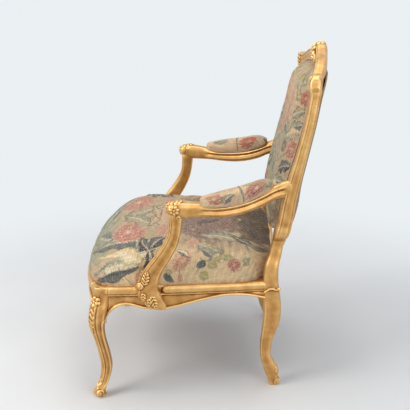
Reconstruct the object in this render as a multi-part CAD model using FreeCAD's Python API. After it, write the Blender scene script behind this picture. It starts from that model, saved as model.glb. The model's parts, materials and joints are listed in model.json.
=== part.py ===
import FreeCAD, Part
import math
import os

# Open-armed upholstered armchair on cabriole legs. Millimetres, +Z up, the chair faces -Y,
# +X is the sitter's left, and the origin is on the floor under the middle of the whole chair.
V = FreeCAD.Vector

# Seat frame
RAIL_TOP = 335.0
BAND_HEIGHT = 24.0
RAIL_THICKNESS = 40.0
FRONT_BOW_Y = -349.0
FRONT_BOW_SQUARE = 2.0e-4
FRONT_BOW_FOURTH = 2.96e-9
SIDE_FRONT_X = 321.0
SIDE_FRONT_Y = -293.0
SIDE_REAR_X = 265.0
SIDE_REAR_Y = 175.0
SIDE_SWELL = 6.0
BACK_RAIL_DEPTH = (171.0, 204.0)
BACK_RAIL_BOTTOM = 287.0
BACK_RAIL_HALF_LENGTH = 240.0

# Lower edge of the side rail as y and height, and of half the front rail as x and height
SIDE_LOWER_EDGE = (
    (-290.0, 256.0),
    (-264.0, 256.0),
    (-250.0, 270.0),
    (-232.0, 280.0),
    (-212.0, 284.0),
    (-167.0, 271.5),
    (-125.0, 266.5),
    (-74.0, 272.0),
    (-30.0, 283.0),
    (0.0, 290.0),
    (50.0, 299.0),
    (120.0, 298.0),
    (165.0, 288.0),
    (188.0, 281.0),
)
FRONT_LOWER_EDGE = (
    (292.0, 256.0),
    (281.0, 256.0),
    (267.0, 270.0),
    (249.0, 280.0),
    (229.0, 284.0),
    (170.0, 281.0),
    (90.0, 270.0),
    (40.0, 260.0),
    (0.0, 256.0),
)

# Legs and posts: each station is height, centre x, centre y and the two half widths
FRONT_LEG = (
    (0.0, 315.0, -292.0, 12.5, 12.5),
    (10.0, 318.0, -296.0, 15.5, 15.5),
    (24.0, 316.0, -294.5, 17.5, 17.5),
    (48.0, 304.0, -282.5, 14.5, 14.5),
    (85.0, 296.5, -275.0, 15.0, 15.0),
    (131.0, 301.0, -279.5, 15.5, 15.5),
    (177.0, 309.5, -288.0, 15.5, 15.5),
    (215.0, 315.0, -293.5, 18.5, 18.5),
    (244.0, 315.5, -293.5, 22.0, 22.0),
    (275.0, 306.0, -289.0, 25.5, 25.5),
    (305.0, 297.5, -286.0, 26.5, 26.5),
    (335.0, 295.0, -285.0, 27.0, 27.0),
)
BACK_LEG = (
    (0.0, 230.0, 202.0, 12.0, 11.0),
    (12.0, 230.0, 203.0, 14.0, 14.0),
    (30.0, 231.0, 199.0, 16.0, 17.0),
    (48.0, 232.0, 196.0, 16.5, 21.0),
    (66.0, 234.0, 189.5, 16.0, 19.5),
    (98.0, 237.0, 178.5, 15.5, 15.5),
    (130.0, 240.0, 178.5, 16.0, 16.5),
    (165.0, 243.0, 183.0, 17.5, 19.0),
    (208.0, 245.0, 192.0, 20.0, 24.0),
    (244.0, 245.0, 194.5, 21.5, 25.0),
    (290.0, 244.0, 192.0, 22.0, 24.0),
    (335.0, 244.0, 188.0, 22.0, 22.0),
    (379.0, 238.0, 190.5, 21.0, 20.5),
    (413.0, 229.0, 200.5, 19.0, 18.0),
    (446.0, 225.0, 208.0, 18.0, 17.0),
    (462.0, 230.0, 213.0, 23.5, 19.5),
    (505.0, 232.0, 224.5, 24.5, 21.0),
    (565.0, 232.0, 234.0, 24.5, 20.0),
    (631.0, 231.0, 249.0, 24.0, 18.0),
    (705.0, 230.0, 267.0, 23.5, 15.5),
    (796.0, 227.0, 287.0, 23.0, 14.5),
    (850.0, 223.0, 295.5, 22.5, 14.5),
    (884.0, 219.0, 300.5, 21.5, 15.0),
)
CORNER_FULLNESS = 0.84

# Scrolls that the toes roll into: centre, axis in plan, radius and half length
FRONT_TOE_SCROLL = ((321.5, -300.0, 15.0), (1.0, 1.0), 10.5, 11.5)
BACK_TOE_SCROLL = ((230.0, 213.0, 12.0), (1.0, 0.0), 9.0, 11.0)

# Back frame
BACK_DISH = 24.0
BACK_DISH_HALF_WIDTH = 230.0
CREST = (
    (244.0, 862.0, 880.0, 13.0),
    (240.0, 859.0, 893.0, 14.5),
    (228.0, 857.0, 906.0, 15.0),
    (210.0, 858.0, 908.0, 15.5),
    (196.0, 864.0, 906.0, 15.5),
    (165.0, 878.0, 917.0, 15.5),
    (120.0, 888.0, 934.0, 16.0),
    (70.0, 894.0, 943.0, 17.0),
    (36.0, 896.0, 953.0, 17.5),
    (0.0, 896.0, 966.0, 18.5),
)
CREST_LEAN_FOOT = 862.0
CREST_LEAN_Y = 292.2
CREST_LEAN = 0.17
LOWER_RAIL = (
    (225.0, 426.0, 480.0),
    (175.0, 420.0, 481.0),
    (120.0, 426.0, 480.0),
    (60.0, 424.0, 478.0),
    (0.0, 414.0, 478.0),
)
LOWER_RAIL_HALF_DEPTH = 15.0
LOWER_RAIL_Y = 209.0
LOWER_RAIL_MIDDLE_Z = 450.0
BACK_RAKE = 0.22

# Arms
ARM_SUPPORT = (
    (270.0, 308.5, -117.0, 12.0, 16.0),
    (284.0, 309.5, -126.0, 13.0, 27.0),
    (305.0, 310.5, -143.0, 14.0, 34.0),
    (335.0, 311.5, -152.5, 14.5, 29.5),
    (356.0, 312.5, -148.0, 14.5, 28.0),
    (380.0, 314.0, -140.0, 14.0, 27.0),
    (405.0, 316.0, -125.0, 13.5, 25.5),
    (435.0, 318.0, -105.0, 13.5, 23.0),
    (465.0, 318.5, -88.0, 13.5, 20.0),
    (495.0, 317.0, -77.0, 14.0, 17.0),
    (525.0, 313.5, -73.0, 15.0, 17.5),
    (552.0, 311.0, -72.5, 16.0, 18.0),
)
ARMREST = (
    (-90.0, 314.0, 560.0, 10.0, 11.0),
    (-84.0, 313.5, 561.0, 16.0, 17.0),
    (-68.0, 312.0, 562.5, 19.5, 22.0),
    (-45.0, 308.0, 562.0, 19.5, 22.0),
    (-18.0, 302.0, 560.5, 19.0, 20.5),
    (5.0, 297.0, 559.5, 22.5, 19.0),
    (45.0, 290.0, 558.0, 25.0, 20.0),
    (90.0, 278.0, 561.0, 25.5, 22.0),
    (130.0, 264.0, 569.0, 25.0, 22.0),
    (165.0, 253.0, 581.0, 21.5, 22.5),
    (196.0, 245.5, 594.0, 15.5, 20.5),
    (218.0, 242.5, 600.0, 14.0, 23.0),
    (240.0, 241.5, 603.0, 14.0, 24.0),
)
ARM_PAD = (
    (-8.0, 300.0, 577.0, 19.0, 11.0),
    (2.0, 298.0, 577.5, 24.0, 18.0),
    (20.0, 295.0, 579.5, 27.0, 21.5),
    (50.0, 288.5, 582.5, 29.0, 26.0),
    (90.0, 278.0, 586.5, 29.5, 30.0),
    (125.0, 266.0, 594.5, 29.0, 30.0),
    (155.0, 255.0, 604.5, 26.5, 26.5),
    (178.0, 247.0, 611.0, 23.0, 18.5),
    (190.0, 243.0, 614.0, 16.0, 9.0),
)
COVER_THICKNESS = 2.0
ARM_FILLING_DROP = 6.0

# How far a cover's hollow is cut past its open side
OPEN_REACH = 8.0

# Seat upholstery: height, then how far the cover lies inside the rails at front, side and rear
SEAT_LEVELS = (
    (335.0, 7.0, 15.0, 0.0),
    (356.0, 2.0, 14.5, 0.0),
    (378.0, 12.0, 14.5, 0.0),
    (400.0, 29.0, 16.0, 1.0),
    (421.0, 53.0, 24.0, 6.0),
    (437.0, 82.0, 44.0, 20.0),
    (448.0, 122.0, 82.0, 52.0),
    (452.0, 170.0, 130.0, 96.0),
)
SEAT_REAR_Y = 163.0
SEAT_SQUARENESS = 7.0
SEAT_POINTS = 20
SEAT_CORNER_REACH = 22.0
TONGUE_HALF_WIDTH = 200.0
TONGUE_FRONT_Y = 120.0
TONGUE_REAR_Y = 197.0
TONGUE_TOP = 396.0
TONGUE_ROUND = 26.0
STRAP_WIDTH = 54.0
STRAP_THICKNESS = 1.1
HESSIAN_THICKNESS = 1.0
HESSIAN_FRONT_INSET = 22.0
HESSIAN_SIDE_INSET = 30.0
HESSIAN_TAIL_HALF_WIDTH = 190.0
STRAP_PITCH = 64.0
LONG_STRAPS = 6
CROSS_STRAPS = 6
CROSS_STRAP_FIRST_Y = -225.0
CROSS_STRAP_INSET = 36.0
SEAT_STRAP_INSET = 26.0
SEAT_STRAP_REAR_Y = 192.0

# Back upholstery: height, half width, the frame's front face beside it and the swell of the pad
BACK_PAD = (
    (452.0, 172.0, 195.0, 24.0),
    (468.0, 208.0, 198.0, 38.0),
    (500.0, 219.0, 204.5, 48.0),
    (560.0, 222.0, 214.5, 53.0),
    (630.0, 222.0, 232.0, 55.0),
    (700.0, 221.0, 251.0, 57.0),
    (780.0, 218.0, 270.5, 57.0),
    (840.0, 211.0, 281.0, 55.0),
    (872.0, 196.0, 286.5, 48.0),
    (890.0, 162.0, 289.5, 39.0),
    (903.0, 96.0, 291.5, 22.0),
)
BACK_PAD_EDGE = 7.0
PAD_LAYER_INSET = 4.0
LAYER_GAP = 0.3
BACK_UPRIGHT_STRAPS = 4
BACK_LEVEL_STRAPS = 5
BACK_STRAP_FIRST_Z = 520.0
BACK_WIDTH_SPAN = (-300.0, 300.0)
BACK_DEPTH_SPAN = (100.0, 400.0)
BACK_HEIGHT_SPAN = (400.0, 950.0)
REBATE_DEPTH = 4.0
OUTSIDE_BACK = (
    (446.0, 168.0, 223.5),
    (470.0, 206.0, 234.0),
    (505.0, 216.0, 244.5),
    (565.0, 217.0, 253.5),
    (631.0, 216.0, 266.5),
    (705.0, 214.0, 282.0),
    (780.0, 210.0, 297.0),
    (840.0, 202.0, 308.0),
    (872.0, 186.0, 314.0),
    (886.0, 150.0, 316.5),
)
OUTSIDE_BACK_PROUD = 4.0

# Joinery: each left-hand tenon is its ends along x, y and z
TENON_BOTTOM = 300.0
TENON_TOP = 326.0
FRONT_TENON = ((264.0, 300.0), (-300.0, -290.0), (TENON_BOTTOM, TENON_TOP))
SIDE_FRONT_TENON = ((290.0, 300.0), (-286.0, -250.0), (TENON_BOTTOM, TENON_TOP))
SIDE_REAR_TENON = ((238.0, 248.0), (160.0, 194.0), (TENON_BOTTOM, TENON_TOP))
BACK_TENON = ((216.0, 236.0), (188.0, 198.0), (TENON_BOTTOM, TENON_TOP))
POST_TENON = ((207.0, 229.0), (293.0, 303.0), (850.0, 880.0))
LOWER_RAIL_TENON = ((204.0, 222.0), (207.0, 217.0), (434.0, 458.0))
ARM_TENON = ((228.0, 238.0), (212.0, 244.0), (590.0, 608.0))
SUPPORT_TENON = ((306.0, 316.0), (-80.0, -64.0), (534.0, 558.0))
PEG_RADIUS = 3.2
SCREW_RADIUS = 2.2
SCREW_HEAD_RADIUS = 4.4
SCREW_HEAD_HEIGHT = 2.5
PEG_LOW_Z = 307.0
PEG_HIGH_Z = 319.0
SIDE_FRONT_PEG = ((268.0, -272.0, PEG_LOW_Z), (1, 0, 0), 36.0)
FRONT_PEG = ((282.0, -258.0, PEG_HIGH_Z), (0, -1, 0), 46.0)
SIDE_REAR_PEG = ((222.0, 178.0, PEG_LOW_Z), (1, 0, 0), 34.0)
BACK_PEG = ((229.0, 168.0, PEG_HIGH_Z), (0, 1, 0), 34.0)
BLOCK_BOTTOM = 296.0
BLOCK_TOP = 328.0
FRONT_BLOCK = ((300.0, -185.0), (262.0, -185.0), (185.0, -268.0), (185.0, -320.0), (300.0, -320.0))
BACK_BLOCK = ((262.0, 118.0), (232.0, 118.0), (165.0, 171.0), (165.0, 180.0), (262.0, 180.0))
BLOCK_MIDDLE = 0.5 * (BLOCK_BOTTOM + BLOCK_TOP)
FRONT_SCREWS = (
    ((242.0, -205.0, BLOCK_MIDDLE), (1, 0, 0), 50.0),
    ((205.0, -245.0, BLOCK_MIDDLE), (0, -1, 0), 65.0),
)
BACK_SCREWS = (
    ((209.0, 135.0, BLOCK_MIDDLE), (1, 0, 0), 45.0),
    ((190.0, 150.0, BLOCK_MIDDLE), (0, 1, 0), 40.0),
)
SUPPORT_SCREW_PLACES = ((-160.0, 318.0), (-137.0, 300.0))
SUPPORT_SCREW_LENGTH = 37.0
SIDES = (("left", 1), ("right", -1))


def section(points):
    """A closed section with the points as its corners."""
    return Part.makePolygon(list(points) + [points[0]])


def loft(wires):
    """A solid through the sections, with straight runs between them."""
    return Part.makeLoft(wires, True, True)


def rounded_ring(half_a, half_b, fullness=CORNER_FULLNESS):
    """Eight offsets round a soft-cornered rectangle, as pairs."""
    a = half_a
    b = half_b
    p = fullness * half_a
    q = fullness * half_b
    return ((a, 0), (p, q), (0, b), (-p, q), (-a, 0), (-p, -q), (0, -b), (p, -q))


def upright_post(stations):
    """A post through level sections."""
    wires = []
    for z, x, y, half_x, half_y in stations:
        ring = [V(x + a, y + b, z) for a, b in rounded_ring(half_x, half_y)]
        wires.append(section(ring))
    return loft(wires)


def lying_bar(stations):
    """A bar that runs along Y through upright sections: y, centre x, centre z and half sizes."""
    wires = []
    for y, x, z, half_x, half_z in stations:
        ring = [V(x + a, y, z + b) for a, b in rounded_ring(half_x, half_z)]
        wires.append(section(ring))
    return loft(wires)


def mirrored(shape):
    """The same piece for the other side of the chair."""
    return shape.mirror(V(0, 0, 0), V(1, 0, 0))


def handed(shape, sign):
    """A left-hand piece for the side that the sign names."""
    return shape if sign > 0 else mirrored(shape)


def block(across, along, height):
    """A box from its low and high ends in x, y and z."""
    size = [ends[1] - ends[0] for ends in (across, along, height)]
    return Part.makeBox(*size, V(across[0], along[0], height[0]))


def even(half):
    """Ends of a length that is centred on the chair's middle."""
    return (-half, half)


def main_solid(shape):
    """The largest solid of a cut, without slivers."""
    return max(shape.Solids, key=lambda solid: solid.Volume)


def cut_all(shape, tools):
    """The shape with all the tools cut away."""
    for tool in tools:
        shape = shape.cut(tool)
    return main_solid(shape)


def bow_y(x):
    """Outer face of the front rail."""
    return FRONT_BOW_Y + FRONT_BOW_SQUARE * x ** 2 + FRONT_BOW_FOURTH * x ** 4


def side_x(y):
    """Outer face of the left side rail."""
    t = (y - SIDE_FRONT_Y) / (SIDE_REAR_Y - SIDE_FRONT_Y)
    return SIDE_FRONT_X + (SIDE_REAR_X - SIDE_FRONT_X) * t + SIDE_SWELL * 4 * t * (1 - t)


def dish(x):
    """How far the back frame bends rearward at a distance from its middle."""
    return BACK_DISH * (1 - (x / BACK_DISH_HALF_WIDTH) ** 2)


def rail_section(place, low):
    """Moulded rail section: a rounded band, a hollow and a bead over a shaped lower edge.

    place turns an inset from the outer face and a height into a point.
    """
    band = RAIL_TOP - BAND_HEIGHT
    bead = min(low + 9.0, band - 1.0)
    hollow = 0.5 * (band + bead)
    return section([
        place(7.0, RAIL_TOP), place(0.5, RAIL_TOP - 6.0), place(0.5, band + 7.0), place(6.0, band),
        place(8.0, hollow), place(2.5, bead), place(2.5, low + 3.0), place(6.0, low),
        place(RAIL_THICKNESS, low), place(RAIL_THICKNESS, RAIL_TOP),
    ])


def side_rail_blank():
    """Left side rail, longer than its clear span at both ends."""
    wires = []
    for y, low in SIDE_LOWER_EDGE:
        wires.append(rail_section(lambda inset, z, y=y: V(side_x(y) - inset, y, z), low))
    return loft(wires)


def front_rail_blank():
    """Bowed front rail, longer than its clear span at both ends."""
    lower_edge = [(-x, low) for x, low in FRONT_LOWER_EDGE] + list(reversed(FRONT_LOWER_EDGE[:-1]))
    wires = []
    for x, low in lower_edge:
        wires.append(rail_section(lambda inset, z, x=x: V(x, bow_y(x) + inset, z), low))
    return loft(wires)


def toe_scroll(place, axis, radius, half_length):
    """The roll at the tip of a toe, lying level."""
    along = V(axis[0], axis[1], 0.0).normalize()
    across = V(-along.y, along.x, 0.0)
    ring = []
    for a, b in rounded_ring(radius, radius):
        ring.append(V(*place) - along * half_length + across * a + V(0, 0, b))
    return Part.Face(section(ring)).extrude(along * (2 * half_length))


def crest_blank():
    """Serpentine top rail with raised shoulders and a swelling for the carved flowers."""
    wires = []
    stations = [(-x, low, top, depth) for x, low, top, depth in CREST]
    stations += list(reversed(CREST[:-1]))
    for x, low, top, half_depth in stations:
        middle = 0.5 * (low + top)
        half_height = 0.5 * (top - low)
        ring = []
        for a, b in rounded_ring(half_depth, half_height):
            z = middle + b
            y = CREST_LEAN_Y + dish(x) + CREST_LEAN * (z - CREST_LEAN_FOOT) + a
            ring.append(V(x, y, z))
        wires.append(section(ring))
    return loft(wires)


def lower_rail_blank():
    """Bottom rail of the back frame."""
    wires = []
    stations = [(-x, low, top) for x, low, top in LOWER_RAIL] + list(reversed(LOWER_RAIL[:-1]))
    for x, low, top in stations:
        middle = 0.5 * (low + top)
        half_height = 0.5 * (top - low)
        ring = []
        for a, b in rounded_ring(LOWER_RAIL_HALF_DEPTH, half_height):
            z = middle + b
            y = LOWER_RAIL_Y + dish(x) + BACK_RAKE * (z - LOWER_RAIL_MIDDLE_Z) + a
            ring.append(V(x, y, z))
        wires.append(section(ring))
    return loft(wires)


def pad_layer(rear, front, shrink, swollen=False):
    """A layer of the back upholstery, from rear to front as distances behind the frame's face.

    A swollen layer's front also rises to the crown of the pad.
    """
    back_shares = (-1.0, -0.5, 0.0, 0.5, 1.0)
    front_shares = (-1.0, -0.88, -0.45, 0.45, 0.88, 1.0) if swollen else back_shares
    wires = []
    last = len(BACK_PAD) - 1
    for i, (z, half, face, swell) in enumerate(BACK_PAD):
        level = z + shrink if i == 0 else z - shrink if i == last else z
        width = half - shrink
        back = []
        for share in back_shares:
            x = share * width
            back.append(V(x, face + dish(x) + rear, level))
        fore = []
        for share in front_shares:
            x = share * width
            crown = swell * (1 - share ** 4) if swollen else 0.0
            fore.append(V(x, face + dish(x) + front - crown, level))
        wires.append(section(back + fore[::-1]))
    return loft(wires)


def seat_outline(z, front, side, rear, grow=0.0):
    """Level outline of the seat cover, a soft-cornered trapezium with a bowed front."""
    power = 2.0 / SEAT_SQUARENESS
    y_low = SIDE_FRONT_Y - SEAT_CORNER_REACH
    y_high = SEAT_REAR_Y - rear - grow
    points = []
    for i in range(SEAT_POINTS):
        angle = 2 * math.pi * (i + 0.5) / SEAT_POINTS
        u = math.copysign(abs(math.cos(angle)) ** power, math.cos(angle))
        v = math.copysign(abs(math.sin(angle)) ** power, math.sin(angle))
        y = y_low + (y_high - y_low) * 0.5 * (v + 1)
        x = u * (side_x(y) - side - grow)
        lean = 0.5 * (1 - v)
        y += lean * (bow_y(x) + front + grow - y_low)
        points.append(V(x, y, z))
    return section(points)


def seat_mound(grow, base):
    """The padded seat, shrunk by grow all round and over the top, on a level base."""
    wires = []
    for z, front, side, rear in SEAT_LEVELS:
        level = base if z == RAIL_TOP else z - grow
        wires.append(seat_outline(level, front, side, rear, grow))
    mound = loft(wires)
    rear = TONGUE_REAR_Y - grow
    top = TONGUE_TOP - grow
    tongue = block(even(TONGUE_HALF_WIDTH - grow), (TONGUE_FRONT_Y, rear), (base, top))
    rear_edges = []
    for edge in tongue.Edges:
        if edge.BoundBox.YMin > rear - 0.1 and edge.BoundBox.ZMin > top - 0.1:
            rear_edges.append(edge)
    tongue = tongue.makeFillet(TONGUE_ROUND, rear_edges)
    return main_solid(mound.fuse(tongue))


def arm_pad_filling():
    """The inside of the arm pad's cover, open downward."""
    drop = ARM_FILLING_DROP
    stations = []
    for y, x, z, half_x, half_z in ARM_PAD:
        inner_half_z = half_z + 0.5 * (drop - COVER_THICKNESS)
        stations.append((y, x, z - 0.5 * (drop + COVER_THICKNESS), half_x - COVER_THICKNESS, inner_half_z))
    first = stations[0]
    last = stations[-1]
    stations[0] = (first[0] + COVER_THICKNESS,) + first[1:]
    stations[-1] = (last[0] - COVER_THICKNESS,) + last[1:]
    return lying_bar(stations)


def prism(radius, length, start, direction):
    """An eight-sided rod from its start, along a level direction."""
    side = V(0, 0, 1).cross(direction)
    up = V(0, 0, 1)
    ring = []
    for i in range(8):
        angle = math.pi * (i + 0.5) / 4
        ring.append(start + side * (radius * math.cos(angle)) + up * (radius * math.sin(angle)))
    return Part.Face(section(ring)).extrude(direction * length)


def peg(start, direction, length):
    """A riven oak peg."""
    return prism(PEG_RADIUS, length, V(*start), V(*direction))


def screw(start, direction, length):
    """A wood screw: a plain shank with a flat head at its start."""
    shank = prism(SCREW_RADIUS, length, V(*start), V(*direction))
    head = prism(SCREW_HEAD_RADIUS, SCREW_HEAD_HEIGHT, V(*start), V(*direction))
    return shank.fuse(head).removeSplitter()


def outside_back_cover():
    """Lightly padded cloth panel on the rear of the back frame."""
    shares = (-1.0, -0.6, 0.0, 0.6, 1.0)
    wires = []
    for z, half, face in OUTSIDE_BACK:
        back = [V(s * half, face + dish(s * half) + OUTSIDE_BACK_PROUD * (1.2 - s * s), z) for s in shares]
        fore = [V(s * half, face + dish(s * half) - REBATE_DEPTH, z) for s in shares]
        wires.append(section(back + fore[::-1]))
    return loft(wires)


def seat_webbing():
    """Two layers of jute straps across the seat rails."""
    half = 0.5 * STRAP_WIDTH
    middle = RAIL_TOP + STRAP_THICKNESS
    straps = []
    for i in range(LONG_STRAPS):
        x = STRAP_PITCH * (i - 0.5 * (LONG_STRAPS - 1))
        front = bow_y(abs(x) + half) + SEAT_STRAP_INSET
        straps.append(block((x - half, x + half), (front, SEAT_STRAP_REAR_Y), (RAIL_TOP, middle)))
    for i in range(CROSS_STRAPS):
        y = CROSS_STRAP_FIRST_Y + STRAP_PITCH * i
        reach = side_x(y + half) - CROSS_STRAP_INSET
        straps.append(block(even(reach), (y - half, y + half), (middle, middle + STRAP_THICKNESS)))
    return Part.makeCompound(straps)


def seat_hessian():
    """The cloth over the webbing."""
    low = RAIL_TOP + 2 * STRAP_THICKNESS
    high = low + HESSIAN_THICKNESS
    sheet = loft([seat_outline(z, HESSIAN_FRONT_INSET, HESSIAN_SIDE_INSET, 0.0) for z in (low, high)])
    tail = block(even(HESSIAN_TAIL_HALF_WIDTH), (TONGUE_FRONT_Y, SEAT_STRAP_REAR_Y), (low, high))
    return main_solid(sheet.fuse(tail))


def back_webbing():
    """Upright straps on the back frame and level straps in front of them."""
    half = 0.5 * STRAP_WIDTH
    rear = REBATE_DEPTH - LAYER_GAP
    middle = rear - STRAP_THICKNESS
    upright = pad_layer(rear, middle, PAD_LAYER_INSET)
    level = pad_layer(middle, middle - STRAP_THICKNESS, PAD_LAYER_INSET)
    straps = []
    for i in range(BACK_UPRIGHT_STRAPS):
        x = STRAP_PITCH * (i - 0.5 * (BACK_UPRIGHT_STRAPS - 1))
        straps += upright.common(block((x - half, x + half), BACK_DEPTH_SPAN, BACK_HEIGHT_SPAN)).Solids
    for i in range(BACK_LEVEL_STRAPS):
        z = BACK_STRAP_FIRST_Z + STRAP_PITCH * i
        straps += level.common(block(BACK_WIDTH_SPAN, BACK_DEPTH_SPAN, (z - half, z + half))).Solids
    return Part.makeCompound(straps)


def support_screws():
    """Screws that hold the left arm support, driven from inside the rail."""
    inner = side_x(SUPPORT_SCREW_PLACES[0][0]) - RAIL_THICKNESS - SCREW_HEAD_HEIGHT
    return [screw((inner, y, z), (1, 0, 0), SUPPORT_SCREW_LENGTH) for y, z in SUPPORT_SCREW_PLACES]


def corner_block(outline, neighbours):
    """A glue block between two rails, shaped to them and to the leg."""
    face = Part.Face(section([V(x, y, BLOCK_BOTTOM) for x, y in outline]))
    return cut_all(face.extrude(V(0, 0, BLOCK_TOP - BLOCK_BOTTOM)), neighbours)


def build():
    """All pieces of the chair, by name."""
    parts = {}
    front_post = upright_post(FRONT_LEG).fuse(toe_scroll(*FRONT_TOE_SCROLL))
    back_post = upright_post(BACK_LEG).fuse(toe_scroll(*BACK_TOE_SCROLL))
    front_rail = front_rail_blank()
    side_rail = side_rail_blank()
    back_rail = block(even(BACK_RAIL_HALF_LENGTH), BACK_RAIL_DEPTH, (BACK_RAIL_BOTTOM, RAIL_TOP))
    crest = crest_blank()
    lower_rail = lower_rail_blank()
    support = upright_post(ARM_SUPPORT)
    arm = lying_bar(ARMREST)
    arm_pad = lying_bar(ARM_PAD)
    back_pad = pad_layer(REBATE_DEPTH, -BACK_PAD_EDGE, 0.0, True)
    outside_back = outside_back_cover()

    front_tenon = block(*FRONT_TENON)
    side_front_tenon = block(*SIDE_FRONT_TENON)
    side_rear_tenon = block(*SIDE_REAR_TENON)
    back_tenon = block(*BACK_TENON)
    post_tenon = block(*POST_TENON)
    lower_tenon = block(*LOWER_RAIL_TENON)
    arm_tenon = block(*ARM_TENON)
    support_tenon = block(*SUPPORT_TENON)
    pegs = {
        "side_front": peg(*SIDE_FRONT_PEG),
        "front": peg(*FRONT_PEG),
        "side_rear": peg(*SIDE_REAR_PEG),
        "back": peg(*BACK_PEG),
    }
    front_screws = [screw(*row) for row in FRONT_SCREWS]
    rear_screws = [screw(*row) for row in BACK_SCREWS]
    arm_screws = support_screws()

    left_leg = cut_all(front_post, [front_tenon, side_front_tenon, pegs["front"], pegs["side_front"]])
    left_post = cut_all(back_post, [
        crest, back_pad, outside_back, side_rear_tenon, back_tenon, lower_tenon, arm_tenon,
        pegs["side_rear"], pegs["back"],
    ])
    left_post = main_solid(left_post.fuse(post_tenon))

    all_pegs = list(pegs.values())
    clear_side_rail = cut_all(side_rail, [front_post, back_post, front_rail, back_rail])
    left_rail = cut_all(clear_side_rail, [support])
    left_rail = main_solid(left_rail.fuse([side_front_tenon, side_rear_tenon]))
    left_rail = cut_all(left_rail, all_pegs + front_screws + rear_screws + arm_screws)

    both = [front_post, mirrored(front_post)]
    whole_front = cut_all(front_rail, both)
    front = main_solid(whole_front.fuse([front_tenon, mirrored(front_tenon)]))
    fastenings = all_pegs + front_screws
    front = cut_all(front, fastenings + [mirrored(piece) for piece in fastenings])

    whole_back = cut_all(back_rail, [back_post, mirrored(back_post)])
    rear = main_solid(whole_back.fuse([back_tenon, mirrored(back_tenon)]))
    fastenings = all_pegs + rear_screws
    rear = cut_all(rear, fastenings + [mirrored(piece) for piece in fastenings])

    top = cut_all(crest, [back_pad, outside_back, post_tenon, mirrored(post_tenon)])
    bottom = cut_all(lower_rail, [back_pad, outside_back, back_post, mirrored(back_post)])
    bottom = main_solid(bottom.fuse([lower_tenon, mirrored(lower_tenon)]))

    clear_arm = cut_all(arm, [back_post, arm_pad])
    left_support = cut_all(support, [clear_arm])
    left_support = main_solid(left_support.fuse(support_tenon))
    left_support = cut_all(left_support, arm_screws)
    left_arm = main_solid(cut_all(clear_arm, [support_tenon]).fuse(arm_tenon))
    filling = arm_pad_filling()

    blocks = {
        "front": corner_block(FRONT_BLOCK, [clear_side_rail, whole_front, front_post] + front_screws + all_pegs),
        "back": corner_block(BACK_BLOCK, [clear_side_rail, whole_back, back_post] + rear_screws + all_pegs),
    }
    for side, sign in SIDES:
        parts["front_leg_" + side] = handed(left_leg, sign)
        parts["back_leg_" + side] = handed(left_post, sign)
        parts["side_seat_rail_" + side] = handed(left_rail, sign)
        parts["arm_support_" + side] = handed(left_support, sign)
        parts["armrest_" + side] = handed(left_arm, sign)
        parts["arm_pad_cover_" + side] = handed(main_solid(arm_pad.cut(filling)), sign)
        parts["arm_pad_stuffing_" + side] = handed(main_solid(filling.common(arm_pad)), sign)
        for end in blocks:
            parts["corner_block_" + end + "_" + side] = handed(blocks[end], sign)
    parts["front_seat_rail"] = front
    parts["back_seat_rail"] = rear
    parts["crest_rail"] = top
    parts["lower_back_rail"] = bottom

    screws = front_screws + rear_screws
    parts["joint_pegs"] = Part.makeCompound(all_pegs + [mirrored(piece) for piece in all_pegs])
    parts["corner_block_screws"] = Part.makeCompound(screws + [mirrored(piece) for piece in screws])
    parts["arm_support_screws"] = Part.makeCompound(arm_screws + [mirrored(piece) for piece in arm_screws])

    low = RAIL_TOP + 2 * STRAP_THICKNESS + HESSIAN_THICKNESS
    parts["seat_webbing"] = seat_webbing()
    parts["seat_hessian"] = seat_hessian()
    parts["seat_stuffing"] = seat_mound(COVER_THICKNESS, low)
    seat_inside = seat_mound(COVER_THICKNESS, RAIL_TOP - OPEN_REACH)
    parts["seat_cover"] = main_solid(seat_mound(0.0, RAIL_TOP).cut(seat_inside))

    hessian_rear = REBATE_DEPTH - 2 * STRAP_THICKNESS - LAYER_GAP
    hessian_front = hessian_rear - HESSIAN_THICKNESS
    crown = COVER_THICKNESS - BACK_PAD_EDGE
    inside = pad_layer(REBATE_DEPTH + OPEN_REACH, crown, COVER_THICKNESS, True)
    parts["back_webbing"] = back_webbing()
    parts["back_hessian"] = pad_layer(hessian_rear, hessian_front, PAD_LAYER_INSET)
    parts["back_stuffing"] = pad_layer(hessian_front - LAYER_GAP, crown, COVER_THICKNESS, True)
    parts["back_cover"] = main_solid(back_pad.cut(inside))
    parts["outside_back_cover"] = outside_back
    return parts


def main():
    os.makedirs("parts", exist_ok=True)
    for name, shape in build().items():
        shape.exportStep("parts/" + name + ".step")


main()
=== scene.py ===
"""Gilt open-armed armchair in floral tapestry: the looks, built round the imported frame.

Lengths in the classes are millimetres in the chair's own frame (+Z up, the chair faces -Y, +X is the sitter's
left); meshes are made in metres.
"""

from __future__ import annotations

import json
import logging
import math
from dataclasses import dataclass, field
from enum import Enum
from typing import Callable, Sequence

import bpy
import numpy as np
from mathutils import Matrix, Vector

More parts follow.
